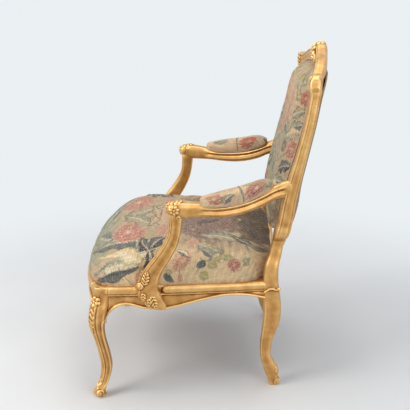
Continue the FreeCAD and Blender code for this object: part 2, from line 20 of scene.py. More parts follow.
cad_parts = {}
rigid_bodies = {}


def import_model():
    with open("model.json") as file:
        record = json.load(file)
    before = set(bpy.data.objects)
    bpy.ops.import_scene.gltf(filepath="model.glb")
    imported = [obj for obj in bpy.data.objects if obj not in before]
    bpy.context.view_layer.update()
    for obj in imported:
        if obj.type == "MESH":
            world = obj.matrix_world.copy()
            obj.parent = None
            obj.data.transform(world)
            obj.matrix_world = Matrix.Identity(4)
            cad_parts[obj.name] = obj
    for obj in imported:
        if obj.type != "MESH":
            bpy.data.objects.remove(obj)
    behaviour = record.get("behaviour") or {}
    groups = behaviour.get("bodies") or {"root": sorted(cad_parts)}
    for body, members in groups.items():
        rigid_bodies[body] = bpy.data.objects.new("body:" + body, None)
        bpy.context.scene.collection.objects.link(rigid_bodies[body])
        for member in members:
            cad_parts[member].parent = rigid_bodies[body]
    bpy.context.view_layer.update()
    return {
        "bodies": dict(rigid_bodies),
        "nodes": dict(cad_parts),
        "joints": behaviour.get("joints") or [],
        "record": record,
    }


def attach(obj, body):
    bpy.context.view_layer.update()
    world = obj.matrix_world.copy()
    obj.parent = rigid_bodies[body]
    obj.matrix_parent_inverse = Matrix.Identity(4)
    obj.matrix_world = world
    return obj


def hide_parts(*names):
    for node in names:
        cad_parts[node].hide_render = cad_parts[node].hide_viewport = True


LOG = logging.getLogger("armchair")
MM = 0.001
BODY = "root"
Array = np.ndarray
Relief = Callable[[Array, Array], Array]
Socket = bpy.types.NodeSocket
Triple = tuple[float, float, float]
Table = Sequence[Sequence[float]]
# The back is hollow in plan: how deep in its middle, and how far out the hollow reaches.
DISH_DEPTH, DISH_HALF = 24.0, 230.0
# Threads in a unit over this give a wave texture's scale, which shows a band for about every two threads.
WAVE_THREADS = 6.283
# Frames in which the stuffing presses a cover out.
SETTLE_FRAMES = 20


class Side(Enum):
    """Which side of the chair a piece is on, as the sitter has it."""

    LEFT = 1
    RIGHT = -1

    @property
    def label(self) -> str:
        """The side's name in node names."""
        return self.name.lower()


def smoothstep(low: float, high: float, value: Array) -> Array:
    """Rise smoothly from 0 at low to 1 at high."""
    t = np.clip((value - low) / (high - low), 0.0, 1.0)
    return t * t * (3.0 - 2.0 * t)


def bump(value: Array, middle: float, width: float) -> Array:
    """A soft bump of height 1 about a middle, with its half width at about a third of its height."""
    return np.exp(-(((value - middle) / width) ** 2))


def through(keys: Sequence[float], values: Array, at: Array) -> Array:
    """A smooth curve through rows of values.

    Args:
        keys: Rising positions of the rows.
        values: One row of numbers for each key.
        at: Positions to read.

    Returns:
        One row for each position.
    """
    k = np.asarray(keys, float)
    v = np.asarray(values, float).reshape(len(k), -1)
    step = np.diff(k)[:, None]
    slope = np.diff(v, axis=0) / step
    tangent = np.empty_like(v)
    tangent[0], tangent[-1] = slope[0], slope[-1]
    tangent[1:-1] = (slope[:-1] * step[1:] + slope[1:] * step[:-1]) / (step[1:] + step[:-1])
    i = np.clip(np.searchsorted(k, at) - 1, 0, len(k) - 2)
    h = (k[i + 1] - k[i])[:, None]
    t = ((np.asarray(at) - k[i])[:, None]) / h
    a, b = v[i], v[i + 1]
    m, n = tangent[i] * h, tangent[i + 1] * h
    t2, t3 = t * t, t * t * t
    return (2 * t3 - 3 * t2 + 1) * a + (t3 - 2 * t2 + t) * m + (3 * t2 - 2 * t3) * b + (t3 - t2) * n


def column(rows: Table, number: int, at: Array) -> Array:
    """One column of a table, read smoothly at places along its first column, in the places' shape."""
    table = np.array(rows)
    return through(table[:, 0], table[:, number], np.ravel(at)).reshape(np.shape(at))


def dished(x: Array | float) -> Array:
    """How far the back curves away behind its edges at a place across."""
    return DISH_DEPTH * (1 - np.minimum(np.abs(x) / DISH_HALF, 1) ** 2)


def unit(rows: Array) -> Array:
    """Rows of length 1 in the same directions."""
    return rows / np.linalg.norm(rows, axis=1, keepdims=True)


def run_along(path: Array) -> Array:
    """Distance from a path's start to each of its points."""
    return np.concatenate([[0.0], np.cumsum(np.linalg.norm(np.diff(path, axis=0), axis=1))])


def turns(count: int) -> Array:
    """Angles spread evenly round a full turn."""
    return np.linspace(0, 2 * math.pi, count, endpoint=False)


def superellipse(a: Array | float, b: Array | float, fullness: float) -> Array:
    """Radius of a superellipse towards (a, b); 2 is a circle, more is squarer."""
    return (np.abs(a) ** fullness + np.abs(b) ** fullness) ** (-1 / fullness)


def noise(points: Array, scale: float, seed: int) -> Array:
    """Smooth seeded noise between about -1 and 1.

    Args:
        points: Places to read it, one row each.
        scale: Size of its blobs, in the points' units.
        seed: Which noise.

    Returns:
        One number for each point.
    """
    rng = np.random.default_rng(seed)
    total = np.zeros(len(points))
    for _ in range(7):
        direction = rng.normal(size=points.shape[1])
        direction *= 2 * math.pi / scale / np.linalg.norm(direction) * rng.uniform(0.6, 1.5)
        total += np.sin(points @ direction + rng.uniform(0, 2 * math.pi))
    return total / 3.2


@dataclass
class Skin:
    """A grid of points that becomes the surface of a piece.

    The grid's rows are rings. Each ring closes on itself, and the ends are capped.
    """

    rings: Array

    def faces(self) -> list[tuple[int, ...]]:
        """The quads between rings and the fans over the two ends."""
        rows, count = self.rings.shape[:2]
        quads = []
        for i in range(rows - 1):
            a, b = i * count, (i + 1) * count
            for j in range(count):
                k = (j + 1) % count
                quads.append((a + j, a + k, b + k, b + j))
        first, last = rows * count, rows * count + 1
        for j in range(count):
            k = (j + 1) % count
            quads.append((first, k, j))
            quads.append((last, (rows - 1) * count + j, (rows - 1) * count + k))
        return quads

    def points(self) -> Array:
        """All vertices, with the middles of the two end rings last."""
        flat = self.rings.reshape(-1, 3)
        return np.vstack([flat, self.rings[0].mean(0), self.rings[-1].mean(0)])


def new_object(name: str, data: bpy.types.ID) -> bpy.types.Object:
    """An object in the scene that holds some data."""
    obj = bpy.data.objects.new(name, data)
    bpy.context.scene.collection.objects.link(obj)
    return obj


def make_mesh(name: str, points: Array, faces: Sequence[Sequence[int]],
              side: Side = Side.LEFT) -> bpy.types.Object:
    """Make an object from points in millimetres, mirrored for the right side.

    Args:
        name: The object's name.
        points: One row for each vertex, in millimetres.
        faces: Vertex numbers of each face.
        side: The side that it belongs to.

    Returns:
        The new object, shaded smooth, with its faces outward.
    """
    placed = np.asarray(points, float) * MM
    if side is Side.RIGHT:
        placed = placed * np.array([-1.0, 1.0, 1.0])
    mesh = bpy.data.meshes.new(name)
    mesh.from_pydata(placed.tolist(), [], [tuple(f) for f in faces])
    mesh.validate()
    obj = new_object(name, mesh)
    face_outward(obj)
    mesh.shade_smooth()
    return obj


def face_outward(obj: bpy.types.Object) -> None:
    """Turn a closed mesh's faces outward, going by the sign of its volume."""
    mesh = obj.data
    mesh.calc_loop_triangles()
    co = coordinates(mesh)
    corners = fetched(mesh.loop_triangles, "vertices", 3, np.int32)
    a, b, c = (co[corners[:, i]] for i in range(3))
    if np.einsum("ij,ij->i", a, np.cross(b, c)).sum() < 0:
        mesh.flip_normals()


def fetched(items: bpy.types.bpy_prop_collection, name: str, width: int, kind: type = np.float32) -> Array:
    """One property of every item, as rows of a width."""
    out = np.empty(len(items) * width, kind)
    items.foreach_get(name, out)
    return out.reshape(-1, width)


def coordinates(mesh: bpy.types.Mesh) -> Array:
    """A mesh's vertices as rows, in its own units."""
    return fetched(mesh.vertices, "co", 3).astype(float)


def normals(mesh: bpy.types.Mesh) -> Array:
    """A mesh's vertex normals as rows."""
    return fetched(mesh.vertices, "normal", 3).astype(float)


def evaluated(obj: bpy.types.Object) -> bpy.types.Mesh:
    """A new mesh of an object as its modifiers leave it."""
    return bpy.data.meshes.new_from_object(obj.evaluated_get(bpy.context.evaluated_depsgraph_get()))


def neighbour_mean(mesh: bpy.types.Mesh, values: Array, rounds: int) -> Array:
    """Values averaged over each vertex's neighbours, several times over.

    Args:
        mesh: The mesh whose edges say what is near what.
        values: One row for each vertex.
        rounds: How often to average.

    Returns:
        The averaged rows.
    """
    a, b = fetched(mesh.edges, "vertices", 2, np.int32).T
    count = np.bincount(a, minlength=len(values)) + np.bincount(b, minlength=len(values))
    count = np.maximum(count, 1)[:, None]
    current = values.copy()
    for _ in range(rounds):
        total = np.empty_like(current)
        for k in range(current.shape[1]):
            onto_a = np.bincount(a, current[b, k], len(values))
            total[:, k] = onto_a + np.bincount(b, current[a, k], len(values))
        current = 0.5 * current + 0.5 * total / count
    return current


def store(mesh: bpy.types.Mesh, name: str, values: Array) -> None:
    """Keep one number per vertex on the mesh under a name."""
    attribute = mesh.attributes.new(name, "FLOAT", "POINT")
    attribute.data.foreach_set("value", np.asarray(values, np.float32))


def store_colour(mesh: bpy.types.Mesh, name: str, values: Array) -> None:
    """Keep one linear colour per vertex on the mesh under a name."""
    attribute = mesh.attributes.new(name, "FLOAT_COLOR", "POINT")
    rgba = np.ones((len(values), 4), np.float32)
    rgba[:, :3] = values
    attribute.data.foreach_set("color", rgba.ravel())


def mark_relief(obj: bpy.types.Object, fine: int = 6, broad: int = 40) -> None:
    """Store how far each vertex stands out of, or lies below, the surface around it, in millimetres.

    Args:
        obj: The piece.
        fine: Rounds of averaging that give the surface close around a vertex.
        broad: Rounds that give the surface farther around it.
    """
    mesh = obj.data
    co, direction = coordinates(mesh), normals(mesh)
    close, far = (np.einsum("ij,ij->i", co - neighbour_mean(mesh, co, rounds), direction) / MM
                  for rounds in (fine, broad))
    # The gilding reads this relief to paint shade into hollows and a highlight onto raised parts.
    store(mesh, "relief", np.clip(close * 1.6 + far * 0.5, -3.0, 3.0))


def mark_bare(obj: bpy.types.Object) -> None:
    """Store where a seat rail is left ungilt: its face towards the middle of the seat."""
    co, out = coordinates(obj.data), normals(obj.data)
    inward = unit(np.array([0.0, -0.075]) - co[:, :2])
    store(obj.data, "bare", smoothstep(0.35, 0.6, np.einsum("ij,ij->i", out[:, :2], inward)))


@dataclass(frozen=True)
class Bead:
    """A raised or sunk line along a limb, at an angle round its section.

    Attributes:
        angle: Degrees round the section from its first axis.
        width: Half width in degrees.
        height: How far it stands out, in millimetres; negative for a groove.
        start: Share of the limb's length where it begins.
        end: Share where it ends.
    """

    angle: float
    width: float
    height: float
    start: float = 0.0
    end: float = 1.0


def twins(middle: float, spread: float, *line: float) -> tuple[Bead, Bead]:
    """Two like beads, a spread to either side of an angle, with their width, height, start and end."""
    return Bead(middle + spread, *line), Bead(middle - spread, *line)


@dataclass(frozen=True)
class Limb:
    """A carved bar of wood, as sections along one axis.

    Attributes:
        stations: Rows of place along the axis, the section's middle and its two half sizes.
        axis: 2 for an upright piece with level sections, 1 for one along Y and 0 for one along X.
        beads: Lines that run along it.
        fullness: How square its sections are; 2 is an ellipse.
        around: Points round a section.
        spacing: Distance between sections.
    """

    stations: Table
    axis: int = 2
    beads: tuple[Bead, ...] = ()
    fullness: float = 3.0
    around: int = 180
    spacing: float = 2.0

    def edge(self, along: Array, degrees: float, proud: float = 0.0) -> Array:
        """Points down the limb at one angle of its section, standing proud of the surface."""
        rows = np.array(self.stations)
        middle_a, middle_b, half_a, half_b = through(rows[:, 0], rows[:, 1:], along).T
        a, b = math.cos(math.radians(degrees)), math.sin(math.radians(degrees))
        radius = superellipse(a, b, self.fullness)
        u = middle_a + a * (radius * half_a + proud)
        v = middle_b + b * (radius * half_b + proud)
        return self.placed(u, v, np.asarray(along, float))

    def placed(self, u: Array, v: Array, w: Array) -> Array:
        """Points from their places across the section and along the axis."""
        order = {0: (w, u, v), 1: (u, w, v), 2: (u, v, w)}[self.axis]
        return np.stack(order, axis=-1)

    def skin(self) -> Skin:
        """The limb's dense surface."""
        rows = np.array(self.stations)
        count = int(abs(rows[-1, 0] - rows[0, 0]) / self.spacing)
        share = np.linspace(0.0, 1.0, count)
        along = rows[0, 0] + share * (rows[-1, 0] - rows[0, 0])
        middle_a, middle_b, half_a, half_b = through(rows[:, 0], rows[:, 1:], along).T
        angle = turns(self.around)
        a, b = np.cos(angle), np.sin(angle)
        radius = superellipse(a, b, self.fullness)
        rise = np.zeros((count, self.around))
        for bead in self.beads:
            turn = (np.degrees(angle) - bead.angle + 180) % 360 - 180
            fade = smoothstep(bead.start - 0.03, bead.start + 0.03, share)
            fade = fade * (1 - smoothstep(bead.end - 0.03, bead.end + 0.03, share))
            rise += bead.height * fade[:, None] * bump(turn, 0.0, bead.width)[None, :]
        u = middle_a[:, None] + a * (radius * half_a[:, None] + rise)
        v = middle_b[:, None] + b * (radius * half_b[:, None] + rise)
        w = np.repeat(along[:, None], self.around, axis=1)
        return Skin(self.placed(u, v, w))


def tube(path: Array, radius: Array | float, around: int = 16, spacing: float = 1.5) -> Skin:
    """A round bead along a path.

    Args:
        path: Points that its middle passes through.
        radius: Its radius, one for all or one for each point.
        around: Points round it.
        spacing: Distance between its rings.

    Returns:
        The bead's closed surface.
    """
    path = np.asarray(path, float)
    chord = run_along(path)
    radii = np.broadcast_to(np.asarray(radius, float), (len(path),))
    at = np.linspace(0, chord[-1], max(int(chord[-1] / spacing), 4))
    rows = through(chord, np.column_stack([path, radii]), at)
    line, size = rows[:, :3], np.maximum(rows[:, 3], 0.2)
    ahead = unit(np.gradient(line, axis=0))
    across = np.cross(ahead[0], (0.3, 0.2, 1.0) if abs(ahead[0][2]) < 0.9 else (1.0, 0.2, 0.0))
    turn = turns(around)
    rings = []
    for place, direction, half in zip(line, ahead, size):
        across = across - direction * (across @ direction)
        across /= np.linalg.norm(across)
        other = np.cross(direction, across)
        rings.append(place + half * (np.outer(np.cos(turn), across) + np.outer(np.sin(turn), other)))
    return Skin(np.array(rings))


def ball(at: Sequence[float], half: Sequence[float], axis: Sequence[float] = (0, 0, 1),
         fullness: float = 2.0) -> Skin:
    """A rounded lump.

    Args:
        at: Its middle.
        half: Half sizes across, up the page and along its axis.
        axis: Direction of its axis.
        fullness: 2 for an ellipsoid, more for a squarer lump.

    Returns:
        Its closed surface.
    """
    along = np.array(axis, float) / np.linalg.norm(axis)
    across = np.cross(along, (0.0, 0.0, 1.0) if abs(along[2]) < 0.9 else (0.0, 1.0, 0.0))
    across /= np.linalg.norm(across)
    other = np.cross(along, across)
    turn = turns(28)
    rings = []
    for t in np.linspace(-0.995, 0.995, 24):
        size = (1 - abs(t) ** fullness) ** (1 / fullness)
        ring = np.outer(np.cos(turn) * size * half[0], across)
        ring += np.outer(np.sin(turn) * size * half[1], other)
        rings.append(np.array(at) + t * half[2] * along + ring)
    return Skin(np.array(rings))


def fused(name: str, skins: Sequence[Skin], voxel: float, rounds: int = 2) -> tuple[Array, Array]:
    """Join closed forms into one, as if cut from one piece of wood.

    Args:
        name: The piece's name.
        skins: The forms, which overlap.
        voxel: Size of the detail that is kept, in millimetres.
        rounds: How often the joined surface is eased.

    Returns:
        The points in millimetres and the quads between them.
    """
    points, faces, start = [], [], 0
    for skin in skins:
        own = skin.points()
        points.append(own)
        faces.extend(tuple(start + v for v in face) for face in skin.faces())
        start += len(own)
    blank = make_mesh(name + "_blank", np.vstack(points), faces)
    joining = blank.modifiers.new("Fuse", "REMESH")
    joining.mode = "VOXEL"
    joining.voxel_size = voxel * MM
    mesh = evaluated(blank)
    eased = neighbour_mean(mesh, coordinates(mesh), rounds) / MM
    quads = fetched(mesh.loops, "vertex_index", 1, np.int32).reshape(-1, 4)
    remove(blank)
    bpy.data.meshes.remove(mesh)
    return eased, quads


def remove(obj: bpy.types.Object) -> None:
    """Delete an object and its mesh."""
    mesh = obj.data
    bpy.data.objects.remove(obj)
    bpy.data.meshes.remove(mesh)


def directions(points: Array, quads: Array) -> Array:
    """Unit normals of a quad mesh's points."""
    a, b, c, d = (points[quads[:, k]] for k in range(4))
    face = np.cross(c - a, d - b)
    total = np.zeros_like(points)
    for k in range(4):
        for j in range(3):
            total[:, j] += np.bincount(quads[:, k], face[:, j], len(points))
    return total / np.maximum(np.linalg.norm(total, axis=1, keepdims=True), 1e-9)


@dataclass(frozen=True)
class Ornament:
    """Raised carving, pressed out of the wood around one place.

    Attributes:
        at: Its middle, on the left side of the chair.
        facing: Direction that it looks in.
        up: Direction of its top.
        reach: Distance past which the wood is left alone.
        relief: Height in millimetres from the places across and up.
    """

    at: Triple
    facing: Triple
    up: Triple
    reach: float
    relief: Relief

    def press(self, points: Array, direction: Array) -> Array:
        """Move the points near the ornament out by its relief.

        Args:
            points: The wood's points.
            direction: Their normals.

        Returns:
            The moved points.
        """
        facing = np.array(self.facing, float) / np.linalg.norm(self.facing)
        across = np.cross(np.array(self.up, float), facing)
        across /= np.linalg.norm(across)
        upward = np.cross(facing, across)
        offset = points - np.array(self.at)
        u, v = offset @ across, offset @ upward
        near = (np.linalg.norm(offset, axis=1) < self.reach) & (direction @ facing > 0.05)
        lift = np.zeros(len(points))
        lift[near] = self.relief(u[near], v[near])
        return points + (0.5 * direction + 0.5 * facing) * lift[:, None]


def blossom(radius: float, petals: int, height: float, turn: float = 0.0) -> Relief:
    """Relief of a carved flower with a button in its middle.

    Args:
        radius: The flower's radius.
        petals: How many petals.
        height: Height of its petals.
        turn: Turn in radians.

    Returns:
        Height from the places across and up.
    """
    def relief(u: Array, v: Array) -> Array:
        """The height at each place."""
        r = np.hypot(u, v) / radius
        angle = np.arctan2(v, u) + turn
        lobe = np.abs(np.cos(petals * angle / 2))
        edge = 0.70 + 0.30 * lobe**0.6
        petal = np.sqrt(np.clip(1 - (r / edge) ** 4, 0, 1)) * (0.35 + 0.65 * lobe**0.5)
        cup = 0.45 + 0.55 * smoothstep(0.1, 0.75, r)
        button = np.sqrt(np.clip(1 - (r / 0.26) ** 2, 0, 1))
        return height * np.maximum(petal * cup, 0.9 * button)

    return relief


def acanthus(drop: float, length: float, width: float, height: float, lobes: int = 4,
             bend: float = 0.0) -> Relief:
    """Relief of a carved leaf that grows up from its foot.

    Args:
        drop: How far its foot lies below the ornament's middle.
        length: The leaf's length.
        width: Its half width.
        height: Its height.
        lobes: Lobes down each edge.
        bend: How far its tip leans across.

    Returns:
        Height from the places across and up.
    """
    def relief(u: Array, v: Array) -> Array:
        """The height at each place."""
        up = v + drop
        t = np.clip(up / length, 0, 1)
        side = u - bend * t * t
        scallop = 0.72 + 0.28 * np.abs(np.sin(math.pi * lobes * t))
        half = width * np.sin(math.pi * np.clip(t, 0.02, 0.98) ** 0.75) ** 0.6 * scallop
        inside = np.clip(1 - (np.abs(side) / np.maximum(half, 0.1)) ** 3, 0, 1) * ((up > 0) & (up < length))
        rib = 0.72 + 0.28 * np.cos(2 * math.pi * (lobes * t - 0.9 * np.abs(side) / width))
        spine = 1 - 0.45 * bump(side, 0.0, 0.10 * width + 0.5)
        return height * np.sqrt(inside) * rib * spine

    return relief


def volute(radius: float, height: float, hand: float = 1.0) -> Relief:
    """Relief of a carved scroll: a spiral ridge that ends in an eye.

    Args:
        radius: The scroll's radius.
        height: Its height.
        hand: 1 or -1 for the way that it winds.

    Returns:
        Height from the places across and up.
    """
    def relief(u: Array, v: Array) -> Array:
        """The height at each place."""
        r = np.hypot(u, v) / radius
        angle = np.arctan2(v, u * hand)
        wave = 0.5 + 0.5 * np.cos(angle - 2 * math.pi * 1.6 * r)
        dome = np.sqrt(np.clip(1 - r**4, 0, 1))
        return height * dome * (0.45 + 0.55 * np.maximum(wave, bump(r, 0.0, 0.22)))

    return relief


@dataclass(frozen=True)
class SeatPlan:
    """Plan and edges of the seat frame, shared by the rails, the legs and the cover.

    The side rails meet the front legs at joint_y, and the front rail meets them at joint_x.
    """

    top: float = 335.0
    thickness: float = 38.0
    bow_y: float = -349.0
    bow_square: float = 2.0e-4
    bow_fourth: float = 2.96e-9
    front_x: float = 321.0
    front_y: float = -293.0
    rear_x: float = 265.0
    rear_y: float = 175.0
    swell: float = 6.0
    joint_x: float = 283.0
    joint_y: float = -262.0
    side_low: Table = (
        (-282, 215), (-275, 238), (-264, 256), (-250, 270), (-232, 280), (-212, 284), (-190, 279),
        (-167, 271.5), (-125, 266.5), (-74, 272), (-30, 283), (0, 290), (50, 299), (120, 298), (165, 288),
        (188, 281),
    )
    front_low: Table = (
        (0, 256), (40, 260), (90, 270), (170, 281), (229, 284), (249, 280), (267, 270), (281, 256),
        (292, 238), (299, 215),
    )

    def front(self, x: Array) -> Array:
        """Outer face of the front rail."""
        return self.bow_y + self.bow_square * x**2 + self.bow_fourth * x**4

    def flank(self, y: Array) -> Array:
        """Outer face of the left side rail."""
        t = (y - self.front_y) / (self.rear_y - self.front_y)
        return self.front_x + (self.rear_x - self.front_x) * t + self.swell * 4 * t * (1 - t)

    def side_edge(self, y: Array) -> Array:
        """Height of the side rail's lower edge."""
        return column(self.side_low, 1, y)

    def front_edge(self, x: Array) -> Array:
        """Height of the front rail's lower edge."""
        return column(self.front_low, 1, np.abs(x))

    def side_path(self, y: Array) -> tuple[Array, Array]:
        """Points and outward directions along the left side rail."""
        x = self.flank(y)
        slope = (self.flank(y + 1.0) - self.flank(y - 1.0)) / 2.0
        return np.stack([x, y], axis=1), unit(np.stack([np.ones_like(x), -slope], axis=1))

    def front_path(self, x: Array) -> tuple[Array, Array]:
        """Points and outward directions along the front rail."""
        y = self.front(x)
        slope = (self.front(x + 1.0) - self.front(x - 1.0)) / 2.0
        return np.stack([x, y], axis=1), unit(np.stack([slope, -np.ones_like(x)], axis=1))

    def corner_path(self, count: int) -> tuple[Array, Array]:
        """Points and outward directions round the left front corner, from the side to the front."""
        start, start_out = self.side_path(np.array([self.joint_y]))
        end, end_out = self.front_path(np.array([self.joint_x]))
        t = np.linspace(0.0, 1.0, count)[:, None]
        tip = np.array([[self.front_x + 0.5, self.front(np.array([self.front_x]))[0] - 5.0]])
        points = (1 - t) ** 2 * start + 2 * t * (1 - t) * tip + t**2 * end
        return points, unit((1 - t) * start_out + t * end_out)


class Moulding:
    """The mouldings that run round the seat frame: a broad band over a fillet, a hollow and a lower bead."""

    band_half_height = 11.0
    band_half_depth = 9.5
    band_fullness = 2.4
    end_round = 13.0

    def __init__(self, plan: SeatPlan) -> None:
        """Keep the seat's plan."""
        self.plan = plan

    def profile(self, low: float, fine: int = 4) -> Array:
        """Section of the rail behind the band, as inset from the outer face and height."""
        top = self.plan.top
        fillet = top - 24.0
        foot = min(low + 5.0, fillet - 7.0)
        middle = 0.5 * (foot + fillet)
        knots = np.array([
            (14.0, top), (9.5, top - 0.5), (9.5, fillet + 4.5), (6.5, fillet + 3.0), (3.4, fillet),
            (6.5, fillet - 3.0), (10.4, fillet - 3.8), (10.2, fillet - 6.0), (8.8, middle), (6.6, foot + 2.0),
            (5.0, foot - 2.0), (5.4, low),
        ])
        keys = np.arange(len(knots), dtype=float)
        face = through(keys, knots, np.linspace(0, len(knots) - 1, (len(knots) - 1) * fine + 1))
        inner = self.plan.thickness
        back = np.array([
            (0.5 * inner, low), (inner, low), (inner, 0.5 * (low + top)), (inner, top), (0.6 * inner, top),
        ])
        return np.vstack([face, back])

    def body(self, points: Array, out: Array, low: Array) -> Skin:
        """The rail behind the band, swept along a path."""
        rings = []
        for place, direction, edge in zip(points, out, low):
            profile = self.profile(float(edge))
            flat = place[None, :] - profile[:, :1] * direction[None, :]
            rings.append(np.column_stack([flat, profile[:, 1]]))
        return Skin(np.array(rings))

    def band(self, points: Array, out: Array, rounded: tuple[bool, bool]) -> Skin:
        """The broad band, with its ends rounded off where asked.

        Args:
            points: Plan points of the rail's outer face.
            out: Outward directions there.
            rounded: Whether the first and the last end are rounded.

        Returns:
            The band's surface.
        """
        run = run_along(points)
        size = np.ones(len(run))
        for is_round, distance in zip(rounded, (run, run[-1] - run)):
            if is_round:
                size *= np.sqrt(np.clip(1 - (1 - np.clip(distance / self.end_round, 0.01, 1)) ** 2, 0, 1))
        turn = turns(40)
        radius = superellipse(np.cos(turn), np.sin(turn), self.band_fullness)
        deep, high = self.band_half_depth, self.band_half_height
        rings = []
        for place, direction, scale in zip(points, out, size):
            depth = radius * np.cos(turn) * deep * (0.35 + 0.65 * scale) - deep
            height = self.plan.top - high + radius * np.sin(turn) * high * scale
            flat = place[None, :] + depth[:, None] * direction[None, :]
            rings.append(np.column_stack([flat, height]))
        return Skin(np.array(rings))

    def lower_bead(self, points: Array, out: Array, low: Array, radius: float = 3.6) -> Skin:
        """The bead that edges the rail's lower side."""
        place = points - out * 4.6
        return tube(np.column_stack([place, low + 2.6]), radius, spacing=1.8)


@dataclass
class CarvedPiece:
    """One gilt piece of the frame: closed forms joined, carved and eased.

    Attributes:
        node: The CAD node that it stands for, without its side.
        skins: The forms that it is cut from, on the left side.
        ornaments: Carving pressed out of it.
        voxel: Size of the detail that is kept, in millimetres.
    """

    node: str
    skins: list[Skin]
    ornaments: list[Ornament] = field(default_factory=list)
    voxel: float = 1.5

    def build(self, sides: Sequence[Side | None]) -> list[bpy.types.Object]:
        """Make the piece for each side, or once for a piece in the middle.

        Args:
            sides: The sides to make, or None for a piece that has no side.

        Returns:
            The finished objects, which stand for their nodes.
        """
        points, quads = fused(self.node, self.skins, self.voxel)
        for ornament in self.ornaments:
            points = ornament.press(points, directions(points, quads))
        made = []
        for side in sides:
            node = self.node if side is None else f"{self.node}_{side.label}"
            obj = make_mesh(node + "_carved", points, quads.tolist(), side or Side.LEFT)
            mark_relief(obj)
            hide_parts(node)
            made.append(obj)
        return made


@dataclass
class Legs:
    """The four cabriole legs; the back pair run up as the posts of the back."""

    front_rows: Table = (
        (0, 311, -290, 12.5, 12.5), (5, 312, -291, 13.5, 13.5), (9, 313, -291.5, 12, 12),
        (14, 315, -293, 13, 13), (24, 315, -293, 14.5, 14.5), (48, 304, -282.5, 14, 14),
        (85, 296.5, -275, 15, 15), (131, 301, -279.5, 15.5, 15.5), (177, 309.5, -288, 15.5, 15.5),
        (215, 315, -293.5, 18.5, 18.5),
        (244, 315.5, -293.5, 22, 22), (275, 306, -289, 25, 25), (300, 297.5, -283, 23, 23),
        (334, 296, -281, 22, 22),
    )
    back_rows: Table = (
        (0, 230, 202, 12, 11), (12, 230, 203, 14, 14), (30, 231, 199, 16, 17), (48, 232, 196, 16.5, 21),
        (66, 234, 189.5, 16, 19.5), (98, 237, 178.5, 15.5, 15.5), (130, 240, 178.5, 16, 16.5),
        (165, 243, 183, 17.5, 19), (208, 245, 192, 20, 24), (244, 245, 194.5, 21.5, 25),
        (290, 244, 192, 22, 24), (335, 244, 188, 22, 22), (379, 238, 190.5, 21, 20.5),
        (413, 229, 200.5, 19, 18), (446, 225, 208, 18, 17),
        (453, 226, 210.5, 19, 17.5), (460, 230, 212.5, 23.5, 19.5), (505, 232, 224.5, 24.5, 21),
        (565, 232, 234, 24.5, 20), (631, 231, 249, 24, 18), (705, 230, 267, 23.5, 15.5),
        (796, 227, 287, 23, 14.5), (850, 223, 295.5, 22.5, 14.5), (872, 221, 298.5, 21.5, 14.8),
        (884, 219, 300.5, 18, 12),
    )
    block_low: float = 300.0
    ear_ends: tuple[float, float] = (-284.0, 300.0)
    block_middle: tuple[float, float] = (304.5, -287.5)
    bead_radii: tuple[float, ...] = (3.6,) * 4 + (3.2,) * 3 + (1.6,)

    def front_limb(self) -> Limb:
        """The front leg below its corner block, alike on either side of its outer edge."""
        beads = (
            *twins(-45, 25, 4.5, 1.8, 0.12, 0.9), *twins(-45, 35, 5.5, -2.0, 0.12, 0.92),
            Bead(-45, 18, 1.6, 0.2, 0.92), *twins(-45, 89, 6, 2.0, 0.1, 0.78),
            *twins(-45, 67, 16, -1.6, 0.12, 0.8),
        )
        return Limb(self.front_rows, beads=beads)

    @staticmethod
    def swapped(path: Array, centre: tuple[float, float]) -> Array:
        """A path on the leg's side face, turned over to its front face."""
        x, y = path[:, 0] - centre[0], path[:, 1] - centre[1]
        return np.column_stack([centre[0] - y, centre[1] - x, path[:, 2]])

    def front(self, plan: SeatPlan, moulding: Moulding) -> CarvedPiece:
        """The front leg with its corner block, mouldings and toe."""
        corner, corner_out = plan.corner_path(60)
        block = moulding.body(corner, corner_out, np.full(len(corner), self.block_low))
        band = moulding.band(corner, corner_out, (False, False))
        side_ear = np.linspace(plan.joint_y, self.ear_ends[0], 14)
        front_ear = np.linspace(plan.joint_x, self.ear_ends[1], 12)
        ears = [moulding.body(*plan.side_path(side_ear), plan.side_edge(side_ear)),
                moulding.body(*plan.front_path(front_ear), plan.front_edge(front_ear))]
        bead = self.arch_bead(plan)
        lines = [tube(path, self.bead_radii) for path in (bead, self.swapped(bead, self.block_middle))]
        toe = ball((321.5, -300.0, 15.0), (11.0, 10.5, 12.5), axis=(1, 1, 0), fullness=3.2)
        skins = [self.front_limb().skin(), block, band, *ears, *lines, toe]
        return CarvedPiece("front_leg", skins, self.front_ornaments(), voxel=1.4)

    def arch_bead(self, plan: SeatPlan) -> Array:
        """The lower bead as it leaves the side rail and runs down the leg's outer rear corner."""
        limb = self.front_limb()
        leg = limb.edge(np.array([238.0, 215.0, 185.0, 150.0, 118.0]), 44.0)
        rail = [(float(plan.flank(np.array(y))) - 4.0, y, z) for y, z in ((-261.0, 262.0), (-266.5, 254.0))]
        start = (float(plan.flank(np.array(-256.0))) - 4.4, -256.0, 268.5)
        return np.vstack([[start], rail, leg])

    def front_ornaments(self) -> list[Ornament]:
        """Knee flower with its pendant leaf, and the scroll of the toe."""
        diagonal, up = (1.0, -1.0, 0.15), (0, 0, 1)
        return [
            Ornament((326, -306, 296), diagonal, up, 24, blossom(15.5, 6, 4.6, 0.3)),
            Ornament((334, -312, 226), diagonal, (0, 0, -1), 75, acanthus(50, 72, 12, 4.2, 5)),
            Ornament((329, -291.5, 15), (1, 1, 0.0), up, 13.5, volute(11, 2.6)),
            Ornament((313, -308, 15), (-1, -1, 0.0), up, 13.5, volute(11, 2.6, -1)),
            Ornament((324, -303, 42), diagonal, up, 30, acanthus(22, 40, 8, 2.4, 3)),
        ]

